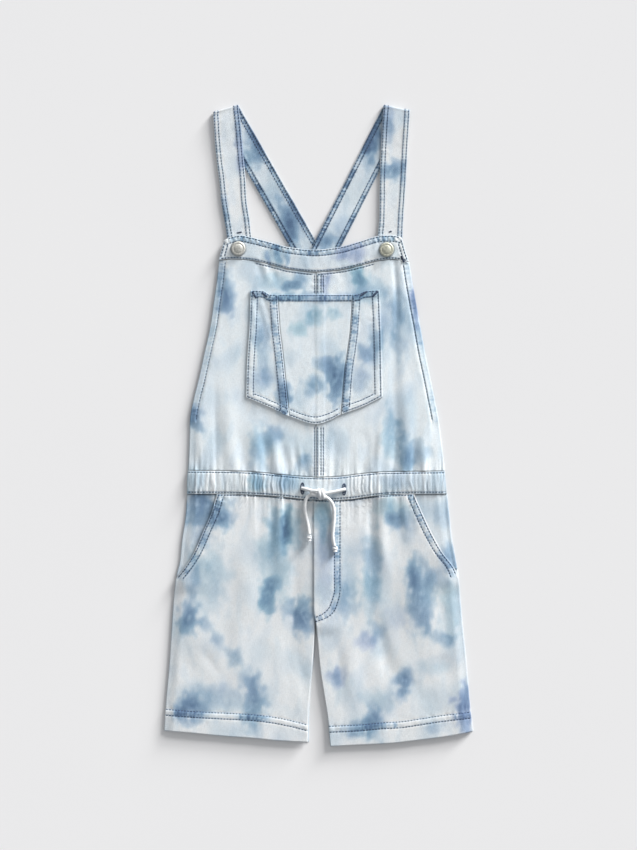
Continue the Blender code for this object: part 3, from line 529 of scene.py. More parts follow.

# The dye: soft blots by place, size, strength and tint, from teal (-1) over blue (0) to violet (1). A
# few, marked below, are partly dye and partly painted fold shadow.
FRONT_BLOTS = [
    Blot(-102, 143, 9, 17, 0.70, 0.2),
    Blot(-106, 166, 7, 13, 0.35, 0.0),
    # Partly dye, partly painted shadow of a fold just above the pocket's left ear.
    Blot(-31, 155, 11, 6, 0.80, -0.1),
    Blot(-20, 162, 9, 9, 0.35, 0.0),
    Blot(-45, 160, 22, 10, 0.25, -0.4),
    Blot(46, 165, 10, 10, 0.50, -0.8),
    Blot(-52, 190, 13, 9, 0.28, -0.3),
    Blot(-57, 187, 3, 9, 0.45, 0.6),
    Blot(-45, 186, 4, 9, 0.55, -0.3),
    Blot(-36, 185, 3, 8, 0.42, 0.0),
    Blot(7, 160, 6, 12, 0.45, 0.8),
    Blot(36, 192, 17, 10, 0.42, 0.8),
    Blot(58, 150, 18, 14, 0.35, -0.2),
    # Partly dye, partly painted shadow along the long fold beside it.
    Blot(88, 128, 6, 44, 0.20, -0.1),
    Blot(97, 112, 13, 30, 0.18, 0.0),
    Blot(77, 112, 12, 24, 0.32, 0.1),
    Blot(90, 84, 8, 18, 0.22, 0.0),
    # Partly dye, partly painted fold shadow in a wedge at the pocket's top.
    Blot(-39, 143, 20, 5, 0.45, -0.4),
    Blot(10, 143, 30, 5, 0.22, 0.1),
    Blot(108, 136, 5, 24, 0.55, 0.9),
    Blot(-4, 120, 10, 9, 0.26, -0.6),
    Blot(-21, 107, 10, 9, 0.30, -0.9),
    Blot(16, 127, 9, 8, 0.26, -0.6),
    Blot(20, 50, 11, 23, 1.00, 0.0),
    Blot(-2, 46, 13, 11, 0.45, 0.0),
    Blot(10, 68, 12, 9, 0.55, 0.0),
    Blot(55, 82, 11, 12, 0.60, 0.0),
    Blot(66, 96, 8, 16, 0.30, -0.2),
    Blot(46, 52, 10, 16, 0.30, 0.1),
    Blot(-63, 51, 12, 14, 0.35, 0.0),
    Blot(-40, 34, 7, 15, 0.75, 0.0),
    Blot(-62, 94, 10, 26, 0.34, 0.0),
    Blot(-137, 7, 9, 15, 0.60, 0.0),
    Blot(-66, -26, 10, 26, 0.42, -0.2),
    Blot(-68, -64, 9, 9, 0.55, -0.6),
    Blot(-36, -62, 22, 10, 0.25, -0.2),
    Blot(84, -64, 16, 10, 0.30, 0.0),
    Blot(-50, -12, 12, 12, 0.35, 0.0),
    Blot(-16, -39, 8, 11, 0.45, 0.0),
    Blot(82, -10, 10, 26, 0.46, -0.3),
    Blot(97, -30, 9, 18, 0.56, -0.2),
    Blot(112, -30, 14, 12, 0.35, 0.0),
    Blot(-122, -98, 27, 16, 0.60, 0.0),
    Blot(-108, -108, 10, 9, 0.50, 0.0),
    Blot(-132, -84, 14, 8, 0.40, 0.0),
    # Partly dye, partly painted shadow of the dark fold under the casing.
    Blot(-36, -117, 6, 22, 0.75, -0.6),
    Blot(-48, -150, 17, 50, 0.30, -0.5),
    Blot(-38, -116, 17, 22, 0.45, -0.6),
    Blot(4, -106, 8, 20, 0.42, -0.8),
    Blot(6, -150, 13, 56, 0.17, 0.5),
    Blot(89, -106, 14, 11, 0.48, 0.0),
    Blot(-57, -192, 10, 19, 0.88, -0.6),
    Blot(-48, -176, 10, 8, 0.35, -0.3),
    Blot(-17, -215, 12, 19, 0.88, 0.0),
    Blot(-34, -204, 10, 9, 0.30, 0.0),
    Blot(-146, -216, 11, 17, 0.74, 0.0),
    Blot(-140, -176, 8, 30, 0.35, 0.0),
    Blot(-122, -170, 22, 34, 0.22, -0.3),
    Blot(-128, -222, 12, 8, 0.30, 0.1),
    Blot(-113, -240, 7, 10, 0.36, 0.0),
    Blot(-96, -259, 8, 14, 0.42, 0.0),
    Blot(-72, -313, 12, 30, 0.55, 0.0),
    Blot(-80, -284, 9, 12, 0.30, 0.0),
    Blot(-108, -306, 46, 16, 0.26, 0.0),
    Blot(-142, -316, 14, 15, 0.56, 0.0),
    Blot(-154, -325, 9, 9, 0.55, 0.0),
    Blot(114, -190, 15, 38, 0.64, 0.0),
    Blot(104, -166, 9, 15, 0.50, 0.0),
    Blot(132, -172, 14, 14, 0.30, 0.1),
    Blot(119, -222, 8, 14, 0.30, 0.0),
    Blot(138, -238, 15, 8, 0.36, 0.0),
    Blot(30, -196, 12, 21, 0.44, 0.0),
    Blot(30, -172, 15, 20, 0.24, -0.1),
    Blot(60, -168, 11, 46, 0.36, -0.3),
    Blot(64, -231, 9, 11, 0.32, 0.1),
    Blot(52, -240, 10, 10, 0.35, 0.8),
    Blot(19, -281, 11, 12, 0.55, 0.8),
    Blot(97, -282, 12, 9, 0.58, 0.2),
    Blot(93, -299, 9, 9, 0.45, 0.1),
    Blot(61, -330, 10, 19, 0.70, 0.0),
    Blot(66, -308, 20, 12, 0.20, -0.3),
    Blot(44, -340, 14, 10, 0.40, 0.1),
    Blot(162, -321, 10, 25, 0.85, 0.7),
    Blot(132, -338, 12, 8, 0.30, 0.2),
    Blot(146, -205, 12, 36, 0.16, -0.5),
    Blot(126, -270, 20, 9, 0.14, -0.4),
    Blot(80, -92, 18, 14, 0.20, -0.7),
    Blot(145, -148, 8, 14, 0.45, 0.1),
    Blot(86, -216, 12, 16, 0.20, 0.5),
    Blot(-130, -124, 12, 12, 0.26, 0.1),
]


def soft_step(low, high, value):
    """0 below low, 1 above high, and a soft rise between them."""
    share = np.clip((value - low) / (high - low), 0.0, 1.0)
    return share * share * (3.0 - 2.0 * share)


def cloth_noise(x, y, size, seed=0.0):
    """Smooth uneven values between about -1 and 1, whose blobs are about this many millimetres."""
    return np.array([noise.noise((a / size, b / size, seed)) for a, b in zip(np.ravel(x), np.ravel(y))])


bib_left_edge = line_through(BIB_SECTIONS, "y", "left")
bib_right_edge = line_through(BIB_SECTIONS, "y", "right")
hip_left_edge = line_through(HIP_SECTIONS, "y", "left")
hip_right_edge = line_through(HIP_SECTIONS, "y", "right")
opening_left_edge = line_through(OPENING_SECTIONS, "y", "left")
opening_right_edge = line_through(OPENING_SECTIONS, "y", "right")
left_hem_edge = line_through(LEFT_HEM_EDGE, "x", "y")
right_hem_edge = line_through(RIGHT_HEM_EDGE, "x", "y")
left_hem_row = line_through(LEFT_HEM_ROW, "x", "y")
right_hem_row = line_through(RIGHT_HEM_ROW, "x", "y")
casing_lower_edge = line_through(CASING_LOWER_EDGE, "x", "y")
left_inseam = line_through(INSEAM_SECTIONS, "y", "left", -CROTCH_SET_BACK)
right_inseam = line_through(INSEAM_SECTIONS, "y", "right", SEAM_GAP / 2)


def side_distance(x, y):
    """How far a place lies inside the garment's side outline."""
    left = np.where(y > -78, bib_left_edge(y), hip_left_edge(y))
    right = np.where(y > -78, bib_right_edge(y), hip_right_edge(y))
    return np.minimum(x - left, right - x)


# Finer creases that only the cloth shows
FINE_CREASES = [
    Fold(-70, 186, -60, 150, 4, -0.55, False),
    Fold(-63, 184, -54, 156, 3, 0.40, False),
    Fold(-54, 182, -42, 150, 4, -0.60, False),
    Fold(86, 183, 88, 88, 3, -0.95, False),
    Fold(93, 183, 94, 120, 4, 0.45, False),
    Fold(62, 184, 58, 160, 3, -0.40, False),
    Fold(24, 173, 30, 152, 4, -0.35, False),
    Fold(-71, 146, -52, 66, 4, -0.55, False),
    Fold(-63, 145, -44, 84, 3, -0.50, False),
    Fold(-116, -48, -114, 66, 3, -0.50, False),
    Fold(-60, -50, -62, 2, 3, -0.60, False),
    Fold(-28, -54, -24, -20, 3, -0.45, False),
    Fold(-12, -56, -22, -8, 3, -0.40, False),
    Fold(62, -50, 66, 8, 3, -0.60, False),
    Fold(84, -50, 87, 6, 3, -0.70, False),
    Fold(104, -50, 110, -8, 3, -0.45, False),
    Fold(131, -50, 126, 26, 4, -0.45, False),
    Fold(-38, -84, -38, -148, 3, -0.80, False),
    Fold(-29, -84, -28, -140, 3, 0.60, False),
    Fold(57, -80, 59, -236, 4, -0.70, False),
    Fold(102, -80, 107, -136, 4, -0.45, False),
    Fold(-94, -80, -100, -128, 4, -0.40, False),
    Fold(-74, -80, -74, -118, 3, 0.45, False),
    Fold(-22, -226, -16, -330, 7, -0.70, True),
    Fold(22, -232, 30, -330, 6, -0.60, True),
    Fold(-140, -240, -96, -300, 6, -0.45, True),
    Fold(-60, -210, -104, -262, 6, -0.40, True),
    Fold(86, -262, 130, -330, 7, -0.45, True),
    Fold(72, -232, 100, -332, 8, -0.70, True),
    Fold(-34, -196, -46, -318, 9, -0.60, True),
    Fold(132, -190, 150, -250, 6, -0.40, True),
]


def fold_height(x, y):
    """How far the main folds lift or sink the cloth."""
    height = np.zeros_like(x)
    for fold in FRONT_FOLDS + FINE_CREASES:
        along_x = fold.x_to - fold.x_from
        along_y = fold.y_to - fold.y_from
        length = math.hypot(along_x, along_y)
        reach_x = x - fold.x_from
        reach_y = y - fold.y_from
        share = (reach_x * along_x + reach_y * along_y) / length**2
        wander = 0.25 * fold.width * np.sin(7.0 * share + fold.x_from)
        across = (reach_x * along_y - reach_y * along_x) / length + wander
        strength = 1.0 - soft_step(0.35, 1.0, share)
        strength *= soft_step(-0.1, 0.0, share)
        if fold.fades_at_both_ends:
            strength *= soft_step(0.0, 0.35, share)
        height += fold.rise * strength * np.exp(-((across / fold.width) ** 2))
    return height


def gather_wave(x):
    """The casing's gathers, as a wave from 0 in a furrow to the gather's depth on its crest."""
    spots = []
    for group in CASING_GATHERS:
        step = (group.x_to - group.x_from) / group.count / 2
        for i in range(2 * group.count):
            spots.append((group.x_from + i * step, group.depth * (i % 2)))
    spots.append((CASING_GATHERS[-1].x_to, 0.0))
    places = np.array([spot[0] for spot in spots])
    uneven = np.sin(places * 12.9) * 1.1 + np.sin(places * 3.7) * 0.5
    depths = np.array([spot[1] for spot in spots]) * (1.0 + 0.5 * np.sin(places * 5.3))
    place = np.interp(x, places + uneven, np.arange(len(places)))
    low = np.floor(place).astype(int)
    high = np.minimum(low + 1, len(places) - 1)
    share = soft_step(0.0, 1.0, place - low)
    return depths[low] * (1 - share) + depths[high] * share


def front_base(x, y):
    """The height of the front's plain inner face, which rolls down to the side edges."""
    return SIDE_INSIDE + (FRONT_INSIDE - SIDE_INSIDE) * soft_step(0.0, SIDE_ROLL, side_distance(x, y))


def row_places(points, step=1.0):
    """Places at an even step along a line of points."""
    points = np.array(points, float)
    lengths = np.concatenate(([0.0], np.cumsum(np.hypot(*np.diff(points, axis=0).T))))
    at = np.linspace(0.0, lengths[-1], max(2, int(lengths[-1] / step) + 1))
    return np.column_stack([np.interp(at, lengths, points[:, axis]) for axis in (0, 1)])


def row_up(edge, shift, low, high):
    """A stitched row beside an edge that runs up the garment."""
    y = np.arange(low, high, 1.0)
    return row_places(np.column_stack((edge(y) + shift, y)))


def row_across(edge, shift, low, high):
    """A stitched row beside an edge that runs across the garment."""
    x = np.arange(low, high, 1.0)
    return row_places(np.column_stack((x, edge(x) + shift)))


def nearest_row(rows, x, y):
    """The distance from each place to the nearest of some rows, and how far along it that is."""
    if not rows:
        return np.full(x.shape, 99.0), np.zeros_like(x)
    every = np.concatenate(rows)
    along = np.concatenate([index * 37.0 + np.arange(len(row)) for index, row in enumerate(rows)])
    tree = kdtree.KDTree(len(every))
    for index, (a, b) in enumerate(every):
        tree.insert((a, b, 0.0), index)
    tree.balance()
    found = [tree.find((a, b, 0.0)) for a, b in zip(x, y)]
    return np.array([hit[2] for hit in found]), along[[hit[1] for hit in found]]


def seam_relief(distance, along, seed):
    """The groove that a stitched row pulls into the cloth, and the puckers beside it."""
    groove = -0.34 * np.exp(-((distance / 0.95) ** 2))
    pucker = cloth_noise(along, distance * 0.5, 4.2, seed) * 0.42 * np.exp(-((distance / 4.2) ** 2))
    return groove + pucker


# How deep a piece's ground is, how far its hems have faded, how cloudy it is, how cool and how grey
LEG_WASH = Wash(0.06, 0.46, 0.80, 0.3, 0.06)
FACING_WASH = Wash(0.16, 0.42, 1.0, 0.3, 0.04)
BIB_WASH = Wash(0.045, 0.26, 0.95, 1.0, 0.0)
POCKET_WASH = Wash(0.06, 0.56, 0.9, 1.0, 0.01)
BAND_WASH = Wash(0.08, 0.56, 1.0, 0.7, 0.02)
CASING_WASH = Wash(0.06, 0.42, 1.0, 0.5, 0.0)
STRAP_FRONT_WASH = Wash(0.05, 0.24, 0.8, 0.4, 0.0)
STRAP_BACK_WASH = Wash(0.20, 0.70, 1.0, 0.4, 0.02)
BACK_WASH = Wash(0.06, 0.42, 1.0, 0.4, 0.02)
DYE_STEPS = (
    (0.00, (241, 240, 239)),
    (0.10, (228, 233, 237)),
    (0.30, (200, 214, 225)),
    (0.55, (157, 182, 204)),
    (0.80, (117, 147, 176)),
    (1.00, (86, 113, 145)),
)


def dyed(x, y, blots, from_row, from_strip, along_strip, seed, wash):
    """The cloth's colour at each place: bleached ground, soft-edged blots, and mottled hems.

    from_row is the distance to the nearest stitches, and from_strip to the middle of a hem."""
    broad = cloth_noise(x, y, 21.0, seed + 1)
    medium = cloth_noise(x, y * 0.8, 10.0, seed + 2)
    small = cloth_noise(x, y * 0.7, 4.6, seed + 3)
    fine = cloth_noise(x, y * 0.5, 2.2, seed + 4)
    drift_x = 4.5 * broad + 3.0 * cloth_noise(x, y, 9.0, seed + 5)
    drift_y = 5.0 * cloth_noise(x, y, 23.0, seed + 6) + 3.0 * cloth_noise(x, y, 9.0, seed + 7)
    ragged = 0.46 * medium + 0.34 * small + 0.12 * fine
    deep = np.zeros_like(x)
    tint = np.zeros_like(x)
    for blot in blots:
        reach_x = (x + drift_x - blot.x) / blot.half_width
        reach_y = (y + drift_y - blot.y) / blot.half_height
        reach = np.hypot(reach_x, reach_y)
        share = blot.strength * (1.0 - soft_step(0.2, 1.5, reach + ragged))
        deep += share
        tint += share * blot.tint
    tint = tint / np.maximum(deep, 0.15) + 0.45 * cloth_noise(x, y, 34.0, seed + 12)
    deep = 1.0 - np.exp(-1.45 * deep)
    deep *= 0.97 + 0.30 * small + 0.22 * medium + 0.10 * fine
    pale = wash.ground + 0.025 * fine
    pale += 0.20 * wash.cloud * soft_step(-0.10, 0.45, cloth_noise(x, y * 0.7, 28.0, seed + 8))
    pale += 0.08 * wash.cloud * soft_step(0.0, 0.5, cloth_noise(x * 1.3, y * 0.5, 11.0, seed + 9))
    rail = soft_step(-0.25, 0.3, cloth_noise(along_strip, from_strip * 0.5, 2.0, seed + 10))
    wear_and_row_shade = wash.wear * np.exp(-((from_strip / 3.1) ** 4)) * (0.22 + 0.78 * rail)
    wear_and_row_shade *= 0.45 + 0.9 * soft_step(-0.35, 0.35, cloth_noise(x, y, 16.0, seed + 11))
    # The hem strips' mottled fading is the dye's own; this line adds painted shade along each stitched
    # row's groove and a thin painted highlight just beside it.
    wear_and_row_shade += 0.24 * np.exp(-((from_row / 0.8) ** 2)) - 0.08 * np.exp(-(((from_row - 1.7) / 0.6) ** 2))
    depth = np.clip(pale + deep + wear_and_row_shade * (1.0 - 0.35 * deep), 0.0, 1.0)
    depths = [step for step, _ in DYE_STEPS]
    tones = [linear(*tone) for _, tone in DYE_STEPS]
    colour = np.column_stack([np.interp(depth, depths, [tone[c] for tone in tones]) for c in range(3)])
    teal = np.array((0.86, 1.03, 0.98))
    violet = np.array((1.12, 0.98, 1.06))
    lean = np.clip(np.abs(tint), 0, 1)[:, None] * np.clip(depth * 1.6, 0, 1)[:, None]
    hue = np.where((tint < 0)[:, None], teal, violet)
    bleached = (1.0 - depth)[:, None]
    cooled = 1.0 + wash.cool * bleached * np.array((-0.060, 0.0, 0.035))
    greyed = 1.0 - wash.grey * (1.0 + 0.9 * cloth_noise(x, y, 60.0, seed + 13))[:, None]
    return colour * (1.0 + (hue - 1.0) * lean) * cooled * greyed


def denim_finish(name):
    """Dyed cotton denim: the dye from the cloth's own colours, a fine twill, slubs and a dry sheen."""
    material, node, join = new_material(name, 0.88)
    place = node("ShaderNodeTexCoord").outputs["Object"]
    dye = node("ShaderNodeVertexColor", layer_name="dye").outputs["Color"]
    slub_place = node(
        "ShaderNodeMapping", {"Scale": (1500.0, 260.0, 400.0)}, {"Vector": place}
    ).outputs["Vector"]
    slub = node("ShaderNodeTexNoise", {"Scale": 1.0, "Detail": 3.0}, {"Vector": slub_place})
    weft_place = node(
        "ShaderNodeMapping", {"Scale": (300.0, 1500.0, 400.0)}, {"Vector": place}
    ).outputs["Vector"]
    weft = node("ShaderNodeTexNoise", {"Scale": 1.0, "Detail": 2.0}, {"Vector": weft_place})
    twill = node(
        "ShaderNodeTexWave",
        {"Scale": 620.0, "Distortion": 1.2, "Detail": 2.0, "Detail Scale": 1.4},
        {"Vector": place},
        bands_direction="DIAGONAL",
    )
    thread_light = node(
        "ShaderNodeMapRange",
        {"From Min": 0.25, "From Max": 0.75, "To Min": 0.91, "To Max": 1.05},
        {"Value": slub.outputs["Fac"]},
    )
    weft_light = node(
        "ShaderNodeMapRange",
        {"From Min": 0.25, "From Max": 0.75, "To Min": 0.95, "To Max": 1.04},
        {"Value": weft.outputs["Fac"]},
    )
    twill_light = node(
        "ShaderNodeMapRange", {"To Min": 0.95, "To Max": 1.03}, {"Value": twill.outputs["Fac"]}
    )
    first = node(
        "ShaderNodeMath",
        inputs={0: thread_light.outputs["Result"], 1: weft_light.outputs["Result"]},
        operation="MULTIPLY",
    )
    both = node(
        "ShaderNodeMath",
        inputs={0: first.outputs[0], 1: twill_light.outputs["Result"]},
        operation="MULTIPLY",
    )
    lit = node("ShaderNodeVectorMath", inputs={0: dye, "Scale": both.outputs[0]}, operation="SCALE")
    join(lit.outputs["Vector"], "Base Color")
    relief = node(
        "ShaderNodeMath", inputs={0: twill.outputs["Fac"], 1: slub.outputs["Fac"]}, operation="ADD"
    )
    bump = node(
        "ShaderNodeBump", {"Strength": 0.35, "Distance": 0.00025}, {"Height": relief.outputs[0]}
    )
    join(bump.outputs["Normal"], "Normal")
    shader = material.node_tree.nodes["Principled BSDF"]
    shader.inputs["Sheen Weight"].default_value = 0.12
    shader.inputs["Sheen Roughness"].default_value = 0.6
    shader.inputs["Specular IOR Level"].default_value = 0.22
    return material


denim = denim_finish("tie_dyed_denim")


def close_stops(count, crowd=0.62):
    """Fractions from 0 to 1, closer together towards both ends, where the edges curve over."""
    even = np.linspace(0.0, 1.0, count + 1)
    return even - crowd * np.sin(2 * np.pi * even) / (2 * np.pi)


def laid_cloth(name, edges, columns, rows, height, colour, material, node_names):
    """A thin shell of cloth over its outline: a grid laid between four edge lines, then thickened."""
    left, right, lower, upper = edges
    bm = bmesh.new()
    bmesh.ops.create_grid(bm, x_segments=columns, y_segments=rows, size=0.5)
    spots = np.array([vert.co[:2] for vert in bm.verts]) + 0.5
    across = np.interp(spots[:, 0], np.linspace(0, 1, columns + 1), close_stops(columns))
    up = np.interp(spots[:, 1], np.linspace(0, 1, rows + 1), close_stops(rows))
    x = np.full(len(across), (left(0.0) + right(0.0)) / 2)
    for _ in range(8):
        y = lower(x) + (upper(x) - lower(x)) * up
        x = left(y) + (right(y) - left(y)) * across
    from_edge = np.minimum(
        np.minimum(x - left(y), right(y) - x), np.minimum(y - lower(x), upper(x) - y)
    )
    turned = 0.5 * (1.0 - soft_step(0.0, 1.0, from_edge))
    z = height(x, y) - turned
    for vert, place in zip(bm.verts, np.column_stack((x, y, z)) * MM):
        vert.co = place
    bmesh.ops.recalc_face_normals(bm, faces=bm.faces)
    if sum(face.normal.z for face in bm.faces) < 0:
        bmesh.ops.reverse_faces(bm, faces=bm.faces)
    # Painted shade: the colour darkens within the last millimetre of every edge, dulling the rims that
    # face the light and darkening those turned away.
    shaded_edge = EDGE_SHADE * (1.0 - soft_step(0.0, 0.8, from_edge))[:, None]
    return finish_cloth(name, bm, colour(x, y) * (1.0 - shaded_edge), material, node_names)


def finish_cloth(name, bm, colours, material, node_names):
    """The cloth's object: its dye, its material, its thickness, and the solid it stands for."""
    data = bpy.data.meshes.new(name)
    bm.to_mesh(data)
    bm.free()
    dye = data.color_attributes.new("dye", "FLOAT_COLOR", "POINT")
    dye.data.foreach_set("color", np.column_stack((colours, np.ones(len(colours)))).ravel())
    data.shade_smooth()
    data.materials.append(material)
    piece = bpy.data.objects.new(name, data)
    bpy.context.collection.objects.link(piece)
    wall = piece.modifiers.new("cloth_wall", "SOLIDIFY")
    wall.thickness = SHELL * MM
    wall.offset = -1.0
    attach(piece, "root")
    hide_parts(*node_names)
    return piece


def thread_finish():
    """Slate-blue sewing thread with a twisted, faded look."""
    material, node, join = new_material("slate_thread", 0.7)
    place = node("ShaderNodeTexCoord").outputs["Object"]
    fade = node("ShaderNodeTexNoise", {"Scale": 45.0, "Detail": 3.0}, {"Vector": place})
    tone = node("ShaderNodeValToRGB", inputs={"Fac": fade.outputs["Fac"]})
    tone.color_ramp.elements[0].position = 0.35
    tone.color_ramp.elements[0].color = (*linear(30, 42, 64), 1.0)
    tone.color_ramp.elements[1].position = 0.65
    tone.color_ramp.elements[1].color = (*linear(66, 84, 112), 1.0)
    join(tone.outputs["Color"], "Base Color")
    twist = node("ShaderNodeTexNoise", {"Scale": 2600.0, "Detail": 1.0}, {"Vector": place})
    bump = node(
        "ShaderNodeBump", {"Strength": 0.3, "Distance": 0.0001}, {"Height": twist.outputs["Fac"]}
    )
    join(bump.outputs["Normal"], "Normal")
    return material


thread = thread_finish()


def sewn(name, rows, pitch=STITCH_PITCH, length=STITCH_LENGTH):
    """One joined mesh of stitches, laid end to end along rows of places in the cloth's face."""
    ball = bmesh.new()
    bmesh.ops.create_uvsphere(ball, u_segments=6, v_segments=4, radius=0.5)
    tip_over = Vector((0, 0, 1)).rotation_difference(Vector((1, 0, 0))).to_matrix()
    bmesh.ops.rotate(ball, cent=(0, 0, 0), matrix=tip_over, verts=ball.verts)
    shape = np.array([vert.co[:] for vert in ball.verts])
    faces = [[vert.index for vert in face.verts] for face in ball.faces]
    ball.free()
    places = []
    for row in rows:
        row = np.asarray(row, float)
        lengths = np.concatenate(([0.0], np.cumsum(np.linalg.norm(np.diff(row, axis=0), axis=1))))
        centres = np.arange(pitch / 2, lengths[-1], pitch)
        for reach in centres:
            start, middle, end = (
                np.array([np.interp(reach + s, lengths, row[:, axis]) for axis in range(3)])
                for s in (-length / 2, 0.0, length / 2)
            )
            ahead = (end - start) / max(np.linalg.norm(end - start), 1e-6)
            aside = np.cross((0.0, 0.0, 1.0), ahead)
            aside /= max(np.linalg.norm(aside), 1e-6)
            above = np.cross(ahead, aside)
            frame_axes = np.array((ahead * length, aside * THREAD_WIDTH, above * THREAD_HEIGHT))
            places.append(shape @ frame_axes + middle + above * STITCH_LIFT)
    points = np.concatenate(places) * MM
    starts = [len(shape) * copy for copy in range(len(places))]
    stitched = [[index + start for index in face] for start in starts for face in faces]
    data = bpy.data.meshes.new(name)
    data.from_pydata(points.tolist(), [], stitched)
    data.shade_smooth()
    data.materials.append(thread)
    piece = bpy.data.objects.new(name, data)
    bpy.context.collection.objects.link(piece)
    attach(piece, "root")
    return piece


def on_face(row, height):
    """A row of places set on the cloth's outer face."""
    row = np.asarray(row, float)
    return np.column_stack((row, height(row[:, 0], row[:, 1])))


def leg_lift(side, x, y):
    """How far a leg lies over the pocket facing, and the right leg over the left at the fly."""
    opening = x - opening_left_edge(y) if side == "left" else opening_right_edge(y) - x
    over_facing = 1.0 - soft_step(OPENING_LAP + 2, OPENING_LAP + 46, opening)
    over_facing = over_facing * soft_step(-192, -173, y)
    if side == "left":
        return LAP_LIFT * over_facing
    over_fly = 1.0 - soft_step(FLY_LAP + 2, FLY_LAP + 36, x - FLY_EDGE_X)
    return LAP_LIFT * np.maximum(over_facing, over_fly * soft_step(-238, -222, y))


def fly_under_edge(y):
    """The left front's inner edge, which runs under the fly and then down the inseam."""
    return left_inseam(y) + (FLY_EDGE_X + FLY_LAP - left_inseam(y)) * soft_step(-216, -200, y)


def fly_edge(y):
    """The right front's inner edge: the fly's fold, then the inseam."""
    return right_inseam(y) + (FLY_EDGE_X - right_inseam(y)) * soft_step(-226, -206, y)


def leg_rows(side):
    """The stitched rows of one front leg."""
    if side == "left":
        return [
            row_across(left_hem_row, 0.0, -171, -11),
            row_across(left_hem_row, -TWIN_ROW, -171, -11),
            row_up(opening_left_edge, 1.9, -170, -79),
            row_up(opening_left_edge, 1.9 + TWIN_ROW, -172, -79),
            row_across(casing_lower_edge, -1.0, -113, -7),
        ]
    return [
        row_across(right_hem_row, 0.0, 11, 171),
        row_across(right_hem_row, -TWIN_ROW, 12, 171),
        row_up(opening_right_edge, -1.9, -166, -79),
        row_up(opening_right_edge, -1.9 - TWIN_ROW, -170, -79),
        row_across(casing_lower_edge, -1.0, -4, 107),
        smooth_path(FLY_INNER_ROW),
        smooth_path(FLY_OUTER_ROW),
    ]


def leg_strips(side):
    """The middles of a leg's doubled strips where the dye caught: opening, fly, parts of the hem."""
    if side == "left":
        return [
            row_up(opening_left_edge, 1.9 + TWIN_ROW / 2, -171, -79),
            row_across(left_hem_row, -TWIN_ROW / 2, -158, -130),
            row_across(left_hem_row, -TWIN_ROW / 2, -92, -50),
        ]
    return [
        row_up(opening_right_edge, -1.9 - TWIN_ROW / 2, -168, -79),
        row_across(right_hem_row, -TWIN_ROW / 2, 44, 86),
        row_across(right_hem_row, -TWIN_ROW / 2, 150, 171),
        smooth_path((np.array(FLY_INNER_ROW) + np.array(FLY_OUTER_ROW)) / 2),
    ]


def leg_face(side, rows):
    """The outer face of one front leg, with its folds, gathers, hem, puckers and creases."""
    hem_row = left_hem_row if side == "left" else right_hem_row
    seed = 3.0 if side == "left" else 13.0

    def height(x, y):
        distance, along = nearest_row(rows, x, y)
        below_casing = casing_lower_edge(x) - y
        reach = 13.0 + 9.0 * cloth_noise(x, np.zeros_like(y), 7.0, 5.0)
        gathers = (gather_wave(x) - 0.3) * 1.2 * np.exp(-below_casing / reach)
        gathers += 0.55 * cloth_noise(x, y * 0.12, 2.6, 46.0) * np.exp(-below_casing / 7.0)
        hem = HEM_RISE * (1.0 - soft_step(-0.8, 0.6, y - hem_row(x)))
        calm = soft_step(0.0, 10.0, side_distance(x, y))
        ripple = 0.34 * cloth_noise(x, y * 0.45, 17.0, seed) + 0.10 * cloth_noise(x, y * 0.6, 5.0, seed)
        return (
            front_base(x, y)
            + DENIM
            + fold_height(x, y)
            + gathers
            + hem
            + calm * ripple
            + leg_lift(side, x, y)
            + seam_relief(distance, along, seed)
        )

    return height


def front_colour(rows, strips, wash, seed=20.0, blots=FRONT_BLOTS):
    """The dye of a piece of the front, with its stitched rows and the strips between them."""

    def colour(x, y):
        from_strip, along_strip = nearest_row(strips, x, y)
        from_row = nearest_row(rows, x, y)[0]
        # Painted shade: the ground is made deeper within a few millimetres of the side outline, dulling
        # the side rims that face the light.
        side_shaded_ground = wash.ground + 0.07 * np.exp(-((side_distance(x, y) / 5.0) ** 2))
        side_shaded_wash = wash._replace(ground=side_shaded_ground)
        return dyed(x, y, blots, from_row, from_strip, along_strip, seed, side_shaded_wash)

    return colour


def left_leg_side(y):
    """The left front leg's outer edge."""
    return np.where(y > -171, opening_left_edge(y), hip_left_edge(y))


def right_leg_side(y):
    """The right front leg's outer edge."""
    return np.where(y > -171, opening_right_edge(y), hip_right_edge(y))


def shifted(line, shift):
    """The same line, moved over."""
    return lambda at: line(at) + shift


LEG_EDGES = {
    "left": (left_leg_side, fly_under_edge, left_hem_edge, shifted(casing_lower_edge, -0.12)),
    "right": (fly_edge, right_leg_side, right_hem_edge, shifted(casing_lower_edge, -0.12)),
}
leg_faces = {}
for side in ("left", "right"):
    rows = leg_rows(side)
    leg_faces[side] = leg_face(side, rows)
    leg = laid_cloth(
        "leg_front_" + side,
        LEG_EDGES[side],
        124,
        190,
        leg_faces[side],
        front_colour(rows, leg_strips(side), LEG_WASH),
        denim,
        ["front_leg_" + side],
    )
    stitches = sewn("leg_stitches_" + side, [on_face(row, leg_faces[side]) for row in rows])

# Hip pocket facings
# The darker blue-dyed denim that shows in the two curved hip pocket openings. Each facing is
# caught in the side seam and the casing, and runs on under the front leg.
FACING_CLOTH = 1.0
FACING_DROP = 0.5


def facing_height(x, y):
    """The facing's outer face, a little below the front leg's own."""
    inside = np.maximum(SIDE_INSIDE, front_base(x, y) + 0.7 * fold_height(x, y) - FACING_DROP)
    below_casing = casing_lower_edge(x) - y
    gathers = (gather_wave(x) - 0.3) * 0.8 * np.exp(-below_casing / 12.0)
    return inside + FACING_CLOTH + gathers + 0.15 * cloth_noise(x, y * 0.5, 9.0, 31.0)


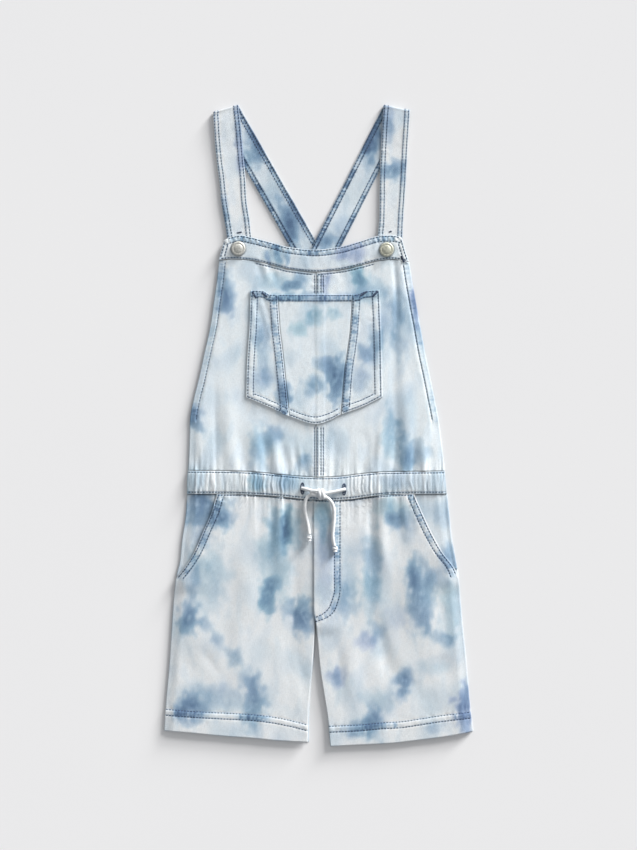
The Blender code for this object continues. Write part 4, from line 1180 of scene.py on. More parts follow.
FACING_EDGES = {
    "left": (
        hip_left_edge,
        shifted(opening_left_edge, OPENING_LAP),
        lambda x: np.full_like(x, -169.0),
        shifted(casing_lower_edge, -0.12),
    ),
    "right": (
        shifted(opening_right_edge, -OPENING_LAP),
        hip_right_edge,
        lambda x: np.full_like(x, -161.0),
        shifted(casing_lower_edge, -0.12),
    ),
}
for side in ("left", "right"):
    facing = laid_cloth(
        "hip_pocket_facing_" + side,
        FACING_EDGES[side],
        34,
        84,
        facing_height,
        front_colour([], [], FACING_WASH),
        denim,
        ["hip_facing_" + side],
    )

# Bib
# Two halves of the same dyed denim, joined by a felled centre-front seam. The armholes are
# turned in and stitched once, and the casing's gathers run up into the cloth.
CASING_UPPER_EDGE = [
    EdgePoint(-148, -50.6),
    EdgePoint(-110, -50.8),
    EdgePoint(-77, -51.8),
    EdgePoint(-43, -55.0),
    EdgePoint(-15, -57.4),
    EdgePoint(2, -58.0),
    EdgePoint(18, -57.6),
    EdgePoint(52, -53.8),
    EdgePoint(72, -52.2),
    EdgePoint(143, -51.2),
]
BAND_LOWER_EDGE = [
    EdgePoint(-112, 184.6),
    EdgePoint(-96, 186.0),
    EdgePoint(-77, 184.9),
    EdgePoint(-54, 179.9),
    EdgePoint(-32, 174.4),
    EdgePoint(-3, 171.4),
    EdgePoint(24, 173.9),
    EdgePoint(47, 178.9),
    EdgePoint(68, 184.2),
    EdgePoint(84, 185.6),
    EdgePoint(102, 182.2),
]
CENTRE_ROWS = (-1.1, 2.8, 5.6)
ARMHOLE_ROW = 7.2
casing_upper_edge = line_through(CASING_UPPER_EDGE, "x", "y")
band_lower_edge = line_through(BAND_LOWER_EDGE, "x", "y")


def bib_cloth(x, y):
    """The bib's outer face without its stitches: folds, gathers, armhole hems and soft creases."""
    from_side = side_distance(x, y)
    above_casing = y - casing_upper_edge(x)
    reach = 10.0 + 8.0 * cloth_noise(x, np.zeros_like(y), 6.0, 6.0)
    gathers = (gather_wave(x) - 0.3) * 1.2 * np.exp(-above_casing / reach)
    gathers += 0.55 * cloth_noise(x, y * 0.12, 2.6, 45.0) * np.exp(-above_casing / 7.0)
    armhole = HEM_RISE * (1.0 - soft_step(ARMHOLE_HEM - 1.2, ARMHOLE_HEM, from_side))
    armhole = armhole * soft_step(-2.0, 8.0, y)
    calm = soft_step(0.0, 12.0, from_side)
    ripple = 0.36 * cloth_noise(x, y * 0.4, 15.0, 41.0) + 0.10 * cloth_noise(x, y * 0.6, 5.0, 42.0)
    seam_fell = 0.35 * soft_step(-2.9, -2.3, x) * (1.0 - soft_step(6.4, 7.2, x))
    return front_base(x, y) + DENIM + fold_height(x, y) + gathers + armhole + calm * ripple + seam_fell


def bib_rows(side):
    """The stitched rows of one half of the bib."""
    if side == "left":
        return [
            row_up(bib_left_edge, ARMHOLE_ROW, 6, 184),
            row_across(band_lower_edge, -2.8, -70, -6),
            row_up(lambda y: np.full_like(y, CENTRE_SEAM_X - 1.7), 0.0, 148, 170),
            row_up(lambda y: np.full_like(y, CENTRE_SEAM_X - 1.7), 0.0, -56, -1),
        ]
    return [
        row_up(bib_right_edge, -ARMHOLE_ROW, 6, 182),
        row_across(band_lower_edge, -2.8, -1, 62),
        *[
            row_up(lambda y, row_x=row_x: np.full_like(y, row_x), 0.0, low, high)
            for row_x in CENTRE_ROWS
            for low, high in ((148, 170), (-56, -1))
        ],
    ]


def bib_strips(side):
    """The middles of the armhole hem and of the felled centre seam on one half of the bib."""
    if side == "left":
        return [row_up(bib_left_edge, ARMHOLE_ROW / 2, 6, 184)]
    return [
        row_up(bib_right_edge, -ARMHOLE_ROW / 2, 6, 182),
        row_up(lambda y: np.full_like(y, 1.6), 0.0, 148, 171),
    ]


def sewn_face(cloth, rows, seed):
    """The cloth's face with the groove and puckers of its stitched rows."""

    def height(x, y):
        distance, along = nearest_row(rows, x, y)
        return cloth(x, y) + seam_relief(distance, along, seed)

    return height


HALF_GAP = SEAM_GAP / 2 - 0.03
BIB_EDGES = {
    "left": (
        bib_left_edge,
        lambda y: np.full_like(y, CENTRE_SEAM_X - HALF_GAP),
        shifted(casing_upper_edge, HALF_GAP),
        shifted(band_lower_edge, -HALF_GAP),
    ),
    "right": (
        lambda y: np.full_like(y, CENTRE_SEAM_X + HALF_GAP),
        bib_right_edge,
        shifted(casing_upper_edge, HALF_GAP),
        shifted(band_lower_edge, -HALF_GAP),
    ),
}
for side, area in (("left", 0.0298), ("right", 0.0292)):
    rows = bib_rows(side)
    face = sewn_face(bib_cloth, rows, 43.0)
    half = laid_cloth(
        "front_bib_" + side,
        BIB_EDGES[side],
        116,
        190,
        face,
        front_colour(rows, bib_strips(side), BIB_WASH),
        denim,
        ["bib_" + side],
    )
    stitches = sewn("bib_stitches_" + side, [on_face(row, face) for row in rows])

# Bib pocket
# A patch pocket in three pieces, joined by two slanted felled seams. Its upper hem is stitched
# twice, and bar tacks hold the two ears of its opening.
PocketSide = namedtuple("PocketSide", "y left right")
POCKET_SECTIONS = [
    PocketSide(152, -76.2, 68.4),
    PocketSide(107, -77.8, 70.2),
    PocketSide(84, -79.5, 70.8),
    PocketSide(62, -80.6, 71.1),
    PocketSide(28, -81.2, 71.8),
]
POCKET_SEAM_SECTIONS = [
    PocketSide(148, -45.8, 38.0),
    PocketSide(107, -43.1, 35.3),
    PocketSide(84, -40.3, 32.4),
    PocketSide(62, -38.0, 29.2),
    PocketSide(14, -33.0, 25.2),
]
POCKET_UPPER_EDGE = [
    EdgePoint(-76, 151.1),
    EdgePoint(-62, 150.5),
    EdgePoint(-55, 146.6),
    EdgePoint(-20, 146.2),
    EdgePoint(20, 146.2),
    EdgePoint(43, 146.6),
    EdgePoint(51, 150.0),
    EdgePoint(69, 151.6),
]
POCKET_LOWER_EDGE = [
    EdgePoint(-81, 30.7),
    EdgePoint(-54, 19.5),
    EdgePoint(-32, 9.4),
    EdgePoint(-3, 1.0),
    EdgePoint(13, 5.5),
    EdgePoint(24, 11.2),
    EdgePoint(47, 19.5),
    EdgePoint(72, 31.8),
]
POCKET_CLOTH = 1.3
FELLED_WIDTH = 10.0
FELLED_RISE = 0.5
POCKET_HEM = 8.0
pocket_left_edge = line_through(POCKET_SECTIONS, "y", "left")
pocket_right_edge = line_through(POCKET_SECTIONS, "y", "right")
pocket_left_seam = line_through(POCKET_SEAM_SECTIONS, "y", "left")
pocket_right_seam = line_through(POCKET_SEAM_SECTIONS, "y", "right")
pocket_upper_edge = line_through(POCKET_UPPER_EDGE, "x", "y")
pocket_lower_edge = line_through(POCKET_LOWER_EDGE, "x", "y")


def pocket_cloth(x, y):
    """The pocket's outer face: on the bib, raised along its felled seams, hem and folded edges."""
    from_seam = np.maximum(pocket_left_seam(y) - x, x - pocket_right_seam(y))
    felled = 1.0 - soft_step(FELLED_WIDTH - 1.2, FELLED_WIDTH, from_seam)
    felled = felled * soft_step(-0.4, 0.4, from_seam)
    hem = 0.45 * soft_step(-POCKET_HEM, -POCKET_HEM + 1.0, y - pocket_upper_edge(x))
    from_side = np.minimum(x - pocket_left_edge(y), pocket_right_edge(y) - x)
    from_fold = np.minimum(from_side, y - pocket_lower_edge(x))
    turning = 0.35 * (1.0 - soft_step(8.2, 9.4, from_fold))
    ripple = 0.22 + 0.22 * cloth_noise(x, y * 0.5, 13.0, 51.0)
    return bib_cloth(x, y) + POCKET_CLOTH + FELLED_RISE * felled + hem + turning + ripple


def pocket_rows(piece):
    """The stitched rows of one piece of the pocket."""
    if piece == "left":
        return [
            row_up(pocket_left_edge, 2.1, 31, 149),
            row_up(pocket_left_edge, 8.3, 33, 149),
            row_up(pocket_left_seam, -1.5, 14, 145),
            row_up(pocket_left_seam, -8.6, 17, 145),
            row_across(pocket_lower_edge, 2.2, -79, -34),
            row_across(pocket_lower_edge, 8.4, -72, -35),
            row_across(pocket_upper_edge, -1.2, -74, -47),
            row_across(pocket_upper_edge, -7.0, -72, -47),
        ]
    if piece == "centre":
        return [
            row_across(pocket_lower_edge, 2.2, -32, 24),
            row_across(pocket_lower_edge, 8.4, -32, 24),
            row_across(pocket_upper_edge, -1.2, -44, 37),
            row_across(pocket_upper_edge, -7.0, -44, 37),
        ]
    return [
        row_up(pocket_right_edge, -2.1, 32, 150),
        row_up(pocket_right_edge, -8.3, 34, 149),
        row_up(pocket_right_seam, 1.5, 15, 145),
        row_up(pocket_right_seam, 8.6, 20, 145),
        row_across(pocket_lower_edge, 2.2, 27, 70),
        row_across(pocket_lower_edge, 8.4, 27, 62),
        row_across(pocket_upper_edge, -1.2, 40, 66),
        row_across(pocket_upper_edge, -7.0, 40, 62),
    ]


def pocket_strips(piece):
    """The middles of the doubled strips on one piece of the pocket."""
    if piece == "left":
        return [
            row_up(pocket_left_seam, -5.0, 14, 145),
            row_across(pocket_upper_edge, -4.1, -74, -47),
        ]
    if piece == "centre":
        return [row_across(pocket_upper_edge, -4.1, -44, 37)]
    return [
        row_up(pocket_right_seam, 5.0, 17, 145),
        row_across(pocket_upper_edge, -4.1, 40, 66),
    ]


def tack_rows(start, end, width, pitch=0.75):
    """Close crosswise stitches along a short line, as a bar tack has."""
    start, end = np.array(start, float), np.array(end, float)
    length = np.hypot(*(end - start))
    ahead = (end - start) / length
    aside = np.array((-ahead[1], ahead[0])) * width / 2
    middles = [start + ahead * reach for reach in np.arange(0.0, length + 0.01, pitch)]
    return [np.array((middle - aside, middle + aside)) for middle in middles]


def tacked(name, lines, height, width=2.6):
    """A piece of bar tacks, each a line of close crosswise stitches on the cloth's face."""
    rows = [on_face(row, height) for start, end in lines for row in tack_rows(start, end, width)]
    return sewn(name, rows, pitch=width, length=width)


POCKET_EDGES = {
    "left": (
        pocket_left_edge,
        shifted(pocket_left_seam, -HALF_GAP),
        pocket_lower_edge,
        pocket_upper_edge,
    ),
    "centre": (
        shifted(pocket_left_seam, HALF_GAP),
        shifted(pocket_right_seam, -HALF_GAP),
        pocket_lower_edge,
        pocket_upper_edge,
    ),
    "right": (
        shifted(pocket_right_seam, HALF_GAP),
        pocket_right_edge,
        pocket_lower_edge,
        pocket_upper_edge,
    ),
}
POCKET_CUTS = (
    ("left", 36, (0.050, 0.132), 0.0052),
    ("centre", 76, (0.086, 0.150), 0.0102),
    ("right", 38, (0.049, 0.135), 0.0047),
)
POCKET_TACKS = {
    "left": [((-73.6, 149.0), (-69.4, 142.0)), ((-63.0, 148.0), (-57.2, 143.6))],
    "right": [((66.0, 149.6), (60.0, 143.6)), ((54.0, 149.4), (47.0, 145.0))],
}
for part, columns, flat, area in POCKET_CUTS:
    rows = pocket_rows(part)
    face = sewn_face(pocket_cloth, rows, 53.0)
    piece = laid_cloth(
        "bib_pocket_" + part,
        POCKET_EDGES[part],
        columns,
        124,
        face,
        front_colour(rows, pocket_strips(part), POCKET_WASH),
        denim,
        ["pocket_" + part],
    )
    sewing = [sewn("pocket_stitches_" + part, [on_face(row, face) for row in rows])]
    if part in POCKET_TACKS:
        sewing.append(tacked("pocket_bar_tacks_" + part, POCKET_TACKS[part], face))

# Bib band
# A doubled band of denim across the top of the bib, stitched twice along its upper edge and
# once along its lower. The two buttons are set through it.
BAND_UPPER_EDGE = [
    EdgePoint(-106, 206.6),
    EdgePoint(-99, 210.4),
    EdgePoint(-88, 212.7),
    EdgePoint(-77, 210.7),
    EdgePoint(-54, 204.8),
    EdgePoint(-32, 199.0),
    EdgePoint(-3, 196.4),
    EdgePoint(24, 199.6),
    EdgePoint(47, 206.0),
    EdgePoint(69, 212.1),
    EdgePoint(80, 212.7),
    EdgePoint(89, 211.6),
    EdgePoint(94, 208.8),
]
BandEnd = namedtuple("BandEnd", "y left right")
BAND_SECTIONS = [
    BandEnd(182, -112.7, 101.4),
    BandEnd(196, -108.6, 96.9),
    BandEnd(213, -104.3, 92.2),
]
BAND_THICKNESS = 2.1
BAND_JOIN_X = -15.7
BUTTON_CENTRES = {"left": (-89.6, 197.6), "right": (76.2, 196.4)}
BUTTON_RADIUS = 8.0
band_upper_edge = line_through(BAND_UPPER_EDGE, "x", "y")
band_left_end = line_through(BAND_SECTIONS, "y", "left")
band_right_end = line_through(BAND_SECTIONS, "y", "right")


def band_cloth(x, y):
    """The band's outer face, with the short join in its length and soft unevenness."""
    join_line = -0.35 * np.exp(-(((x - BAND_JOIN_X) / 0.6) ** 2))
    rope = 0.22 * np.sin((x + 0.6 * y) * 1.05) * np.exp(-(((band_upper_edge(x) - y - 3.4) / 3.0) ** 2))
    tucks = 0.24 * cloth_noise(x, y * 0.25, 5.5, 63.0) + 0.18 * cloth_noise(x, y, 11.0, 61.0)
    return FRONT_INSIDE + BAND_THICKNESS + tucks + join_line + rope


band_rows = [
    row_across(band_upper_edge, -1.3, -101, 90),
    row_across(band_upper_edge, -6.6, -103, 92),
    row_across(band_lower_edge, 1.6, -109, 98),
    row_up(band_right_end, -5.6, 187, 204),
    row_up(band_right_end, -1.5, 185, 208),
    row_up(band_left_end, 5.6, 189, 202),
    row_up(band_left_end, 1.5, 188, 205),
]
band_face = sewn_face(band_cloth, band_rows, 62.0)


def band_colour(x, y):
    """The band's dye, with a painted shadow ring round each button."""
    strip = [row_across(band_upper_edge, -4.0, -96, 84)]
    colour = front_colour(band_rows, strip, BAND_WASH)(x, y)
    for button_x, button_y in BUTTON_CENTRES.values():
        reach = np.hypot(x - button_x, y - button_y)
        # Painted shadow: a dark ring just outside each button's rim.
        ring = np.exp(-(((reach - BUTTON_RADIUS - 0.3) / 0.9) ** 2))[:, None]
        colour = colour * (1.0 - 0.62 * ring)
    return colour


band = laid_cloth(
    "bib_top_band",
    (band_left_end, band_right_end, shifted(band_lower_edge, HALF_GAP), band_upper_edge),
    190,
    26,
    band_face,
    band_colour,
    denim,
    ["bib_band"],
)
band_stitches = sewn("band_stitches", [on_face(row, band_face) for row in band_rows])
band_tack = tacked("band_bar_tack", [((92.6, 189.0), (95.4, 182.8))], band_face)

# Waist casing
# A channel of denim with elastic inside, so its cloth is gathered in short uneven furrows.
# The drawstring comes out of two vertical eyelets, worked round in satin stitch.
CASING_THICKNESS = 2.1
CASING_PUFF = 0.7


def casing_cloth(x, y):
    """The casing's outer face: puffed up between its seams and deeply gathered."""
    low, high = casing_lower_edge(x), casing_upper_edge(x)
    share = np.clip((y - low) / (high - low), 0.0, 1.0)
    puff = 4.0 * share * (1.0 - share)
    sway = 2.2 * cloth_noise(x * 0.3, y, 9.0, 71.0)
    uneven = 0.9 + 0.7 * cloth_noise(x, y * 0.3, 9.0, 74.0)
    gathers = gather_wave(x + sway) * (0.45 + 0.45 * puff) * uneven
    furrows = 0.34 * cloth_noise(x, y * 0.15, 2.6, 72.0)
    calm = 1.0 - 0.7 * np.exp(-((np.minimum(abs(x + 17.9), abs(x - 29.0)) / 5.0) ** 2))
    return front_base(x, y) + CASING_THICKNESS - 0.1 + puff * CASING_PUFF + (gathers + furrows) * calm


casing_rows = [
    row_across(casing_upper_edge, -1.7, -146, 141),
    row_across(casing_lower_edge, 2.3, -146, 142),
]
casing_face = sewn_face(casing_cloth, casing_rows, 73.0)


def casing_colour(x, y):
    """The casing's dye, with painted shade down in the furrows and in the slots of the two eyelets."""
    colour = front_colour(casing_rows, [], CASING_WASH, 26.0)(x, y)
    # Painted shade: the colour darkens, more in red than in blue, where the gathers sink into furrows.
    furrow_shade = np.clip(0.55 - gather_wave(x), 0.0, 0.6)[:, None]
    colour = colour * (1.0 - 0.34 * furrow_shade * np.array((1.25, 1.0, 0.85)))
    # Painted shade: each eyelet's slot is filled with dark navy, standing in for the shade inside the
    # opening.
    for eyelet_x, eyelet_y, _ in (LEFT_EYELET, RIGHT_EYELET):
        reach = np.hypot((x - eyelet_x) / 1.2, (y - eyelet_y) / 5.4)
        slot = (1.0 - soft_step(0.8, 1.15, reach))[:, None]
        colour = colour * (1.0 - slot) + np.array(linear(58, 74, 100)) * slot
    return colour


casing = laid_cloth(
    "waist_casing_front",
    (
        bib_left_edge,
        bib_right_edge,
        shifted(casing_lower_edge, HALF_GAP),
        shifted(casing_upper_edge, -HALF_GAP),
    ),
    420,
    34,
    casing_face,
    casing_colour,
    denim,
    ["waistband_front"],
)
SATIN_WIDTH = 1.4
SATIN_STITCHES = 34


def eyelet_rows(centre, half_width=1.9, half_height=6.2):
    """Satin stitches that point outwards all round an upright slot."""
    rows = []
    for turn in np.arange(0.0, 2 * np.pi, 2 * np.pi / SATIN_STITCHES):
        rim = np.array((half_width * np.cos(turn), half_height * np.sin(turn)))
        facing = np.array((np.cos(turn) / half_width, np.sin(turn) / half_height))
        facing *= SATIN_WIDTH / 2 / np.hypot(*facing)
        middle = np.array(centre[:2]) + rim
        rows.append(np.array((middle - facing, middle + facing)))
    return rows


casing_stitches = sewn("casing_stitches", [on_face(row, casing_face) for row in casing_rows])
eyelet_stitches = sewn(
    "eyelet_satin_stitches",
    [
        on_face(row, casing_face)
        for eyelet in (LEFT_EYELET, RIGHT_EYELET)
        for row in eyelet_rows(eyelet)
    ],
    pitch=SATIN_WIDTH,
    length=SATIN_WIDTH,
)

# Straps
# Two long hemmed ribbons of denim. Each runs from under the band up to a fold at the
# shoulder, then down the back, where the right strap crosses over the left.
StrapLine = namedtuple("StrapLine", "left_x left_y right_x right_y")
StrapHeight = namedtuple("StrapHeight", "y z")
STRAP_CLOTH = 1.1
STRAP_HEM = 6.2
STRAP_HEM_RISE = 0.3
STRAP_ROWS = (1.5, 5.6)
STRAP_FOLD_RADIUS = 1.3
STRAP_COLUMNS = 30
STRAP_FRONT_SECTIONS = 150
STRAP_FOLD_SECTIONS = 13
STRAP_BACK_SECTIONS = 240
# The two hems take their puckers and dye from places this far apart, so that they differ.
STRAP_HEMS_APART = 400.0
LEFT_STRAP_FRONT = [
    StrapLine(-100.0, 190, -72.5, 190),
    StrapLine(-102.8, 213, -75.0, 213),
    StrapLine(-105.4, 230, -76.9, 230),
    StrapLine(-109.2, 252, -80.2, 252),
    StrapLine(-111.4, 274, -81.5, 276),
    StrapLine(-114.4, 297, -84.0, 301),
    StrapLine(-116.2, 317, -85.8, 323),
    StrapLine(-117.4, 336, -87.8, 343),
    StrapLine(-118.2, 351, -89.6, 359),
]
RIGHT_STRAP_FRONT = [
    StrapLine(64.6, 190, 93.0, 190),
    StrapLine(66.1, 213, 94.5, 213),
    StrapLine(67.6, 230, 95.2, 230),
    StrapLine(68.0, 252, 96.6, 252),
    StrapLine(68.3, 276, 98.0, 274),
    StrapLine(69.2, 301, 99.2, 297),
    StrapLine(70.4, 323, 100.4, 318),
    StrapLine(71.6, 343, 101.7, 338),
    StrapLine(72.8, 359, 102.5, 353),
]
STRAP_TACKS = {"left": ((-90.8, 215.4), (-86.2, 216.2)), "right": ((79.2, 216.4), (82.0, 217.2))}
STRAP_BACK_LENGTH = {"left": 316.0, "right": 309.0}
STRAP_BACK_SLOPE = {"left": (0.497, -0.868, 0.0), "right": (-0.4525, -0.8917, 0.0)}
FRONT_STRAP_HEIGHTS = [
    StrapHeight(190, 2.25),
    StrapHeight(300, 2.25),
    StrapHeight(345, 3.45),
    StrapHeight(360, 3.45),
]
BACK_STRAP_HEIGHTS = {
    "left": [
        StrapHeight(70, 2.45),
        StrapHeight(103, 2.45),
        StrapHeight(127, 0.85),
        StrapHeight(360, 0.85),
    ],
    "right": [
        StrapHeight(70, 2.55),
        StrapHeight(214, 2.55),
        StrapHeight(252, 0.85),
        StrapHeight(360, 0.85),
    ],
}
STRAP_BLOTS = {
    ("left", "front"): [Blot(-87, 323, 6, 34, 0.42, 0.6), Blot(-108, 232, 8, 20, 0.5, 0.0)],
    ("left", "back"): [Blot(-70, 316, 10, 26, 0.6, 0.0), Blot(-32, 228, 12, 26, 0.55, 0.0)],
    ("right", "front"): [Blot(76, 340, 8, 24, 0.45, 0.3), Blot(83, 284, 13, 11, 0.8, 0.0)],
    # On the right strap's back, the first blot is painted shadow: the dark gap under the strap's fold.
    ("right", "back"): [Blot(60, 325, 10, 23, 0.95, 0.0), Blot(7, 206, 13, 10, 0.5, 0.0)],
}


def strap_course(side, front_lines):
    """The left and right ends and the facing of close sections along a strap, front to back."""
    count = len(front_lines) - 1
    KeyLine = namedtuple("KeyLine", "step value")
    at = np.linspace(0.0, count, STRAP_FRONT_SECTIONS)
    ends = {}
    for column in StrapLine._fields:
        keys = [KeyLine(step, getattr(line, column)) for step, line in enumerate(front_lines)]
        ends[column] = line_through(keys, "step", "value")(at)
    height = line_through(FRONT_STRAP_HEIGHTS, "y", "z")((ends["left_y"] + ends["right_y"]) / 2)
    left = np.column_stack((ends["left_x"], ends["left_y"], height))
    right = np.column_stack((ends["right_x"], ends["right_y"], height))
    up = np.array((0.0, 0.0, 1.0))
    fold_left, fold_right = left[-1] * (1, 1, 0), right[-1] * (1, 1, 0)
    along = (fold_right - fold_left) / np.linalg.norm(fold_right - fold_left)
    outward = np.array((-along[1], along[0], 0.0))
    inset = STRAP_FOLD_RADIUS + STRAP_CLOTH / 2 + STRAP_HEM_RISE
    keep = left[:, 1] < fold_left[1] - inset - 1.0
    left, right = left[keep], right[keep]
    facing = np.tile(up, (len(left), 1))
    back_height = line_through(BACK_STRAP_HEIGHTS[side], "y", "z")
    turn_height = back_height(360.0) + STRAP_FOLD_RADIUS
    angle = np.linspace(0.0, np.pi, STRAP_FOLD_SECTIONS)[:, None]
    turning = up * np.cos(angle) + outward * np.sin(angle)
    shift = turning * STRAP_FOLD_RADIUS - outward * inset + up * turn_height
    reach = np.linspace(0.0, STRAP_BACK_LENGTH[side], STRAP_BACK_SECTIONS)[1:, None]
    travel = reach * np.array(STRAP_BACK_SLOPE[side]) - outward * inset
    back_left, back_right = fold_left + travel, fold_right + travel
    rise = up * back_height((back_left[:, 1] + back_right[:, 1]) / 2)[:, None]
    return (
        np.concatenate((left, fold_left + shift, back_left + rise)),
        np.concatenate((right, fold_right + shift, back_right + rise)),
        np.concatenate((facing, turning, np.tile(-up, (len(travel), 1)))),
        len(left) + STRAP_FOLD_SECTIONS // 2 + 1,
    )


def strap_top(x, y):
    """The outer face of both straps where they come out from under the band."""
    return np.full_like(x, FRONT_STRAP_HEIGHTS[0].z + STRAP_CLOTH / 2)


def strap_points(course, across, rise):
    """Places at a share of the way across every section of a strap, raised off its middle."""
    left, right, facing, _ = course
    return left + (right - left) * across[:, None] + facing * rise[:, None]


for side, front_lines in (("left", LEFT_STRAP_FRONT), ("right", RIGHT_STRAP_FRONT)):
    left, right, facing, fold_at = course = strap_course(side, front_lines)
    bm = bmesh.new()
    bmesh.ops.create_grid(bm, x_segments=STRAP_COLUMNS, y_segments=len(left) - 1, size=0.5)
    spots = np.array([vert.co[:2] for vert in bm.verts]) + 0.5
    row = np.rint(spots[:, 1] * (len(left) - 1)).astype(int)
    stops = close_stops(STRAP_COLUMNS, 0.5)
    across = np.interp(spots[:, 0], np.linspace(0, 1, STRAP_COLUMNS + 1), stops)
    middles = (left + right) / 2
    lengths = np.concatenate(([0.0], np.cumsum(np.linalg.norm(np.diff(middles, axis=0), axis=1))))
    width = np.linalg.norm(right - left, axis=1)[row]
    from_edge = np.minimum(across, 1 - across) * width
    distance = np.minimum(np.abs(from_edge - STRAP_ROWS[0]), np.abs(from_edge - STRAP_ROWS[1]))
    along = lengths[row] + STRAP_HEMS_APART * (across > 0.5)
    hem = STRAP_HEM_RISE * (1.0 - soft_step(STRAP_HEM - 0.4, STRAP_HEM + 0.5, from_edge))
    curled = 0.35 * (1.0 - soft_step(0.0, 1.2, from_edge))
    relief = 0.7 * seam_relief(distance, along, 81.0)
    relief += 0.12 * cloth_noise(lengths[row], across * width, 9.0)
    rise = STRAP_CLOTH / 2 + hem - curled + relief - 0.02
    places = left[row] + (right - left)[row] * across[:, None] + facing[row] * rise[:, None]
    for vert, place in zip(bm.verts, places * MM):
        vert.co = place
    bm.normal_update()
    if sum(face.normal.z for face in list(bm.faces)[:200]) < 0:
        bmesh.ops.reverse_faces(bm, faces=bm.faces)
    in_front = (row <= fold_at)[:, None]
    spots_of_dye = [
        dyed(
            places[:, 0],
            places[:, 1],
            STRAP_BLOTS[side, part],
            distance,
            np.abs(from_edge - STRAP_HEM / 2),
            along,
            seed,
            wash,
        )
        for part, seed, wash in (("front", 84.0, STRAP_FRONT_WASH), ("back", 88.0, STRAP_BACK_WASH))
    ]
    # Painted shade over the strap's fold and along its edges.
    fold_shade = np.exp(-(((lengths[row] - lengths[fold_at]) / 4.0) ** 2))
    shaded_edge = EDGE_SHADE * np.maximum(1.0 - soft_step(0.0, 0.8, from_edge), fold_shade)[:, None]
    colour = np.where(in_front, spots_of_dye[0], spots_of_dye[1]) * (1.0 - shaded_edge)
    strap = finish_cloth("shoulder_strap_" + side, bm, colour, denim, ["strap_" + side])
    strap.modifiers["cloth_wall"].thickness = STRAP_CLOTH * MM
    sewing_rows = []
    section_width = np.linalg.norm(right - left, axis=1)
    inward = [row_in / section_width for row_in in STRAP_ROWS]
    for share in inward + [1 - row_in for row_in in inward]:
        outer = np.full(len(left), STRAP_CLOTH / 2 + STRAP_HEM_RISE - 0.2)
        inner = np.full(len(left), -STRAP_CLOTH / 2 + 0.02)
        sewing_rows.append(strap_points(course, share, outer)[: fold_at + 4])
        sewing_rows.append(strap_points(course, share, inner)[fold_at + 6 :])
    stitches = sewn("strap_stitches_" + side, sewing_rows)
    tack = tacked("strap_bar_tack_" + side, [STRAP_TACKS[side]], strap_top, 1.7)

# Buttons
# Two domed tack buttons of pale antique metal, with a raised ring round the dome. Each is set
# through the band, over the end of a strap.
BUTTON_HEIGHT = 3.0
BUTTON_PROFILE = [
    (0.0, 1.0),
    (0.22, 0.985),
    (0.42, 0.92),
    (0.56, 0.80),
    (0.63, 0.66),
    (0.69, 0.62),
    (0.76, 0.72),
    (0.86, 0.70),
    (0.94, 0.56),
    (1.0, 0.30),
    (0.97, 0.06),
    (0.90, 0.0),
    (0.0, 0.0),
]


def button_finish(name, low, high):
    """Matt plated metal, its tone and fine bumps varied by noise between a darker and a lighter grey.
    """
    material, node, join = new_material(name, 0.5, 0.4)
    place = node("ShaderNodeTexCoord").outputs["Object"]
    tarnish = node("ShaderNodeTexNoise", {"Scale": 520.0, "Detail": 4.0}, {"Vector": place})
    tone = node("ShaderNodeValToRGB", inputs={"Fac": tarnish.outputs["Fac"]})
    tone.color_ramp.elements[0].position = 0.32
    tone.color_ramp.elements[0].color = (*low, 1.0)
    tone.color_ramp.elements[1].position = 0.62
    tone.color_ramp.elements[1].color = (*high, 1.0)
    join(tone.outputs["Color"], "Base Color")
    hollows = {"Height": tarnish.outputs["Fac"]}
    bump = node("ShaderNodeBump", {"Strength": 0.25, "Distance": 0.0002}, hollows)
    join(bump.outputs["Normal"], "Normal")
    return material


BUTTON_TONES = {
    "left": (linear(172, 172, 166), linear(212, 212, 206)),
    "right": (linear(166, 167, 152), linear(206, 206, 190)),
}
for side, (x, y) in BUTTON_CENTRES.items():
    bm = bmesh.new()
    seat = FRONT_INSIDE + BAND_THICKNESS + SEAM_GAP
    points = [
        bm.verts.new((x + radius * BUTTON_RADIUS, y, seat + height * BUTTON_HEIGHT))
        for radius, height in BUTTON_PROFILE
    ]
    edges = [bm.edges.new(pair) for pair in zip(points, points[1:])]
    bmesh.ops.spin(
        bm,
        geom=points + edges,
        cent=(x, y, 0.0),
        axis=(0.0, 0.0, 1.0),
        angle=math.tau,
        steps=56,
        use_merge=True,
    )
    bmesh.ops.remove_doubles(bm, verts=bm.verts, dist=0.001)
    bmesh.ops.scale(bm, vec=(MM, MM, MM), verts=bm.verts)
    bmesh.ops.recalc_face_normals(bm, faces=bm.faces)
    data = bpy.data.meshes.new("tack_button_" + side)
    bm.to_mesh(data)
    bm.free()
    data.shade_smooth()
    data.materials.append(button_finish("antique_plate_" + side, *BUTTON_TONES[side]))
    button = bpy.data.objects.new("tack_button_" + side, data)
    bpy.context.collection.objects.link(button)
    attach(button, "root")
    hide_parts("button_" + side)

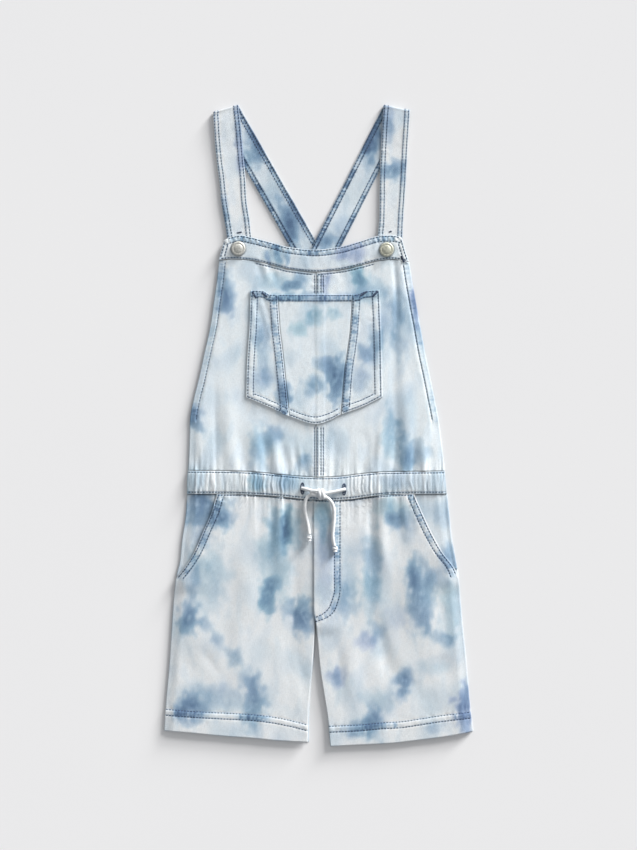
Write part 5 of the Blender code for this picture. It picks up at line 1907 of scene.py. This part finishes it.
# Back
# The back bib, the back of the waist casing and the two back legs lie flat on the surface,
# with a faint unevenness in the faces that the front covers.
BACK_BIB_SECTIONS = [
    Section(-52, -146.6, 141.4),
    Section(-16, -144.5, 137.0),
    Section(6, -143.4, 133.9),
    Section(30, -136.0, 126.0),
    Section(55, -119.0, 109.0),
    Section(75, -104.0, 94.0),
    Section(91, -96.0, 86.0),
]
BACK_BIB_UPPER_EDGE = [EdgePoint(-96, 88.0), EdgePoint(0, 92.0), EdgePoint(86, 88.0)]
BACK_BLOTS = [
    Blot(-90, 30, 16, 22, 0.6, 0.0),
    Blot(40, 10, 20, 16, 0.6, -0.3),
    Blot(95, -20, 13, 24, 0.5, 0.0),
    Blot(-30, -140, 18, 24, 0.6, 0.0),
    Blot(-120, -230, 16, 26, 0.6, 0.1),
    Blot(-70, -310, 22, 14, 0.7, 0.0),
    Blot(60, -160, 16, 30, 0.6, 0.0),
    Blot(120, -270, 20, 18, 0.6, 0.5),
    Blot(50, -320, 14, 18, 0.7, 0.0),
]


def back_height(x, y):
    """The upper face of the back, faintly uneven, with slight gathers at its casing."""
    gathers = 0.10 * np.sin(x * 0.62) * np.exp(-(((y + 64.0) / 22.0) ** 2))
    return DENIM - 0.08 + 0.10 * cloth_noise(x, y * 0.5, 16.0, 91.0) + gathers


back_left_inseam = line_through(INSEAM_SECTIONS, "y", "left", -SEAM_GAP / 2)
back_right_inseam = line_through(INSEAM_SECTIONS, "y", "right", SEAM_GAP / 2)
back_left_side = line_through(BACK_BIB_SECTIONS, "y", "left")
back_right_side = line_through(BACK_BIB_SECTIONS, "y", "right")
back_upper_edge = line_through(BACK_BIB_UPPER_EDGE, "x", "y")
under_casing = shifted(casing_lower_edge, -HALF_GAP)
BACK_PIECES = (
    (
        "back_bib_panel",
        (back_left_side, back_right_side, shifted(casing_upper_edge, HALF_GAP), back_upper_edge),
        (120, 60),
        "back_bib",
        (0.292, 0.147),
        0.036,
    ),
    (
        "waist_casing_back",
        (
            bib_left_edge,
            bib_right_edge,
            shifted(casing_lower_edge, HALF_GAP),
            shifted(casing_upper_edge, -HALF_GAP),
        ),
        (150, 14),
        "waistband_back",
        (0.292, 0.034),
        0.0076,
    ),
    (
        "leg_back_left",
        (hip_left_edge, back_left_inseam, left_hem_edge, under_casing),
        (70, 110),
        "back_leg_left",
        (0.178, 0.285),
        0.043,
    ),
    (
        "leg_back_right",
        (back_right_inseam, hip_right_edge, right_hem_edge, under_casing),
        (70, 110),
        "back_leg_right",
        (0.178, 0.285),
        0.043,
    ),
)
for name, edges, (columns, rows), node_name, flat, area in BACK_PIECES:
    panel = laid_cloth(
        name,
        edges,
        columns,
        rows,
        back_height,
        front_colour([], [], BACK_WASH, 95.0, BACK_BLOTS),
        denim,
        [node_name],
    )
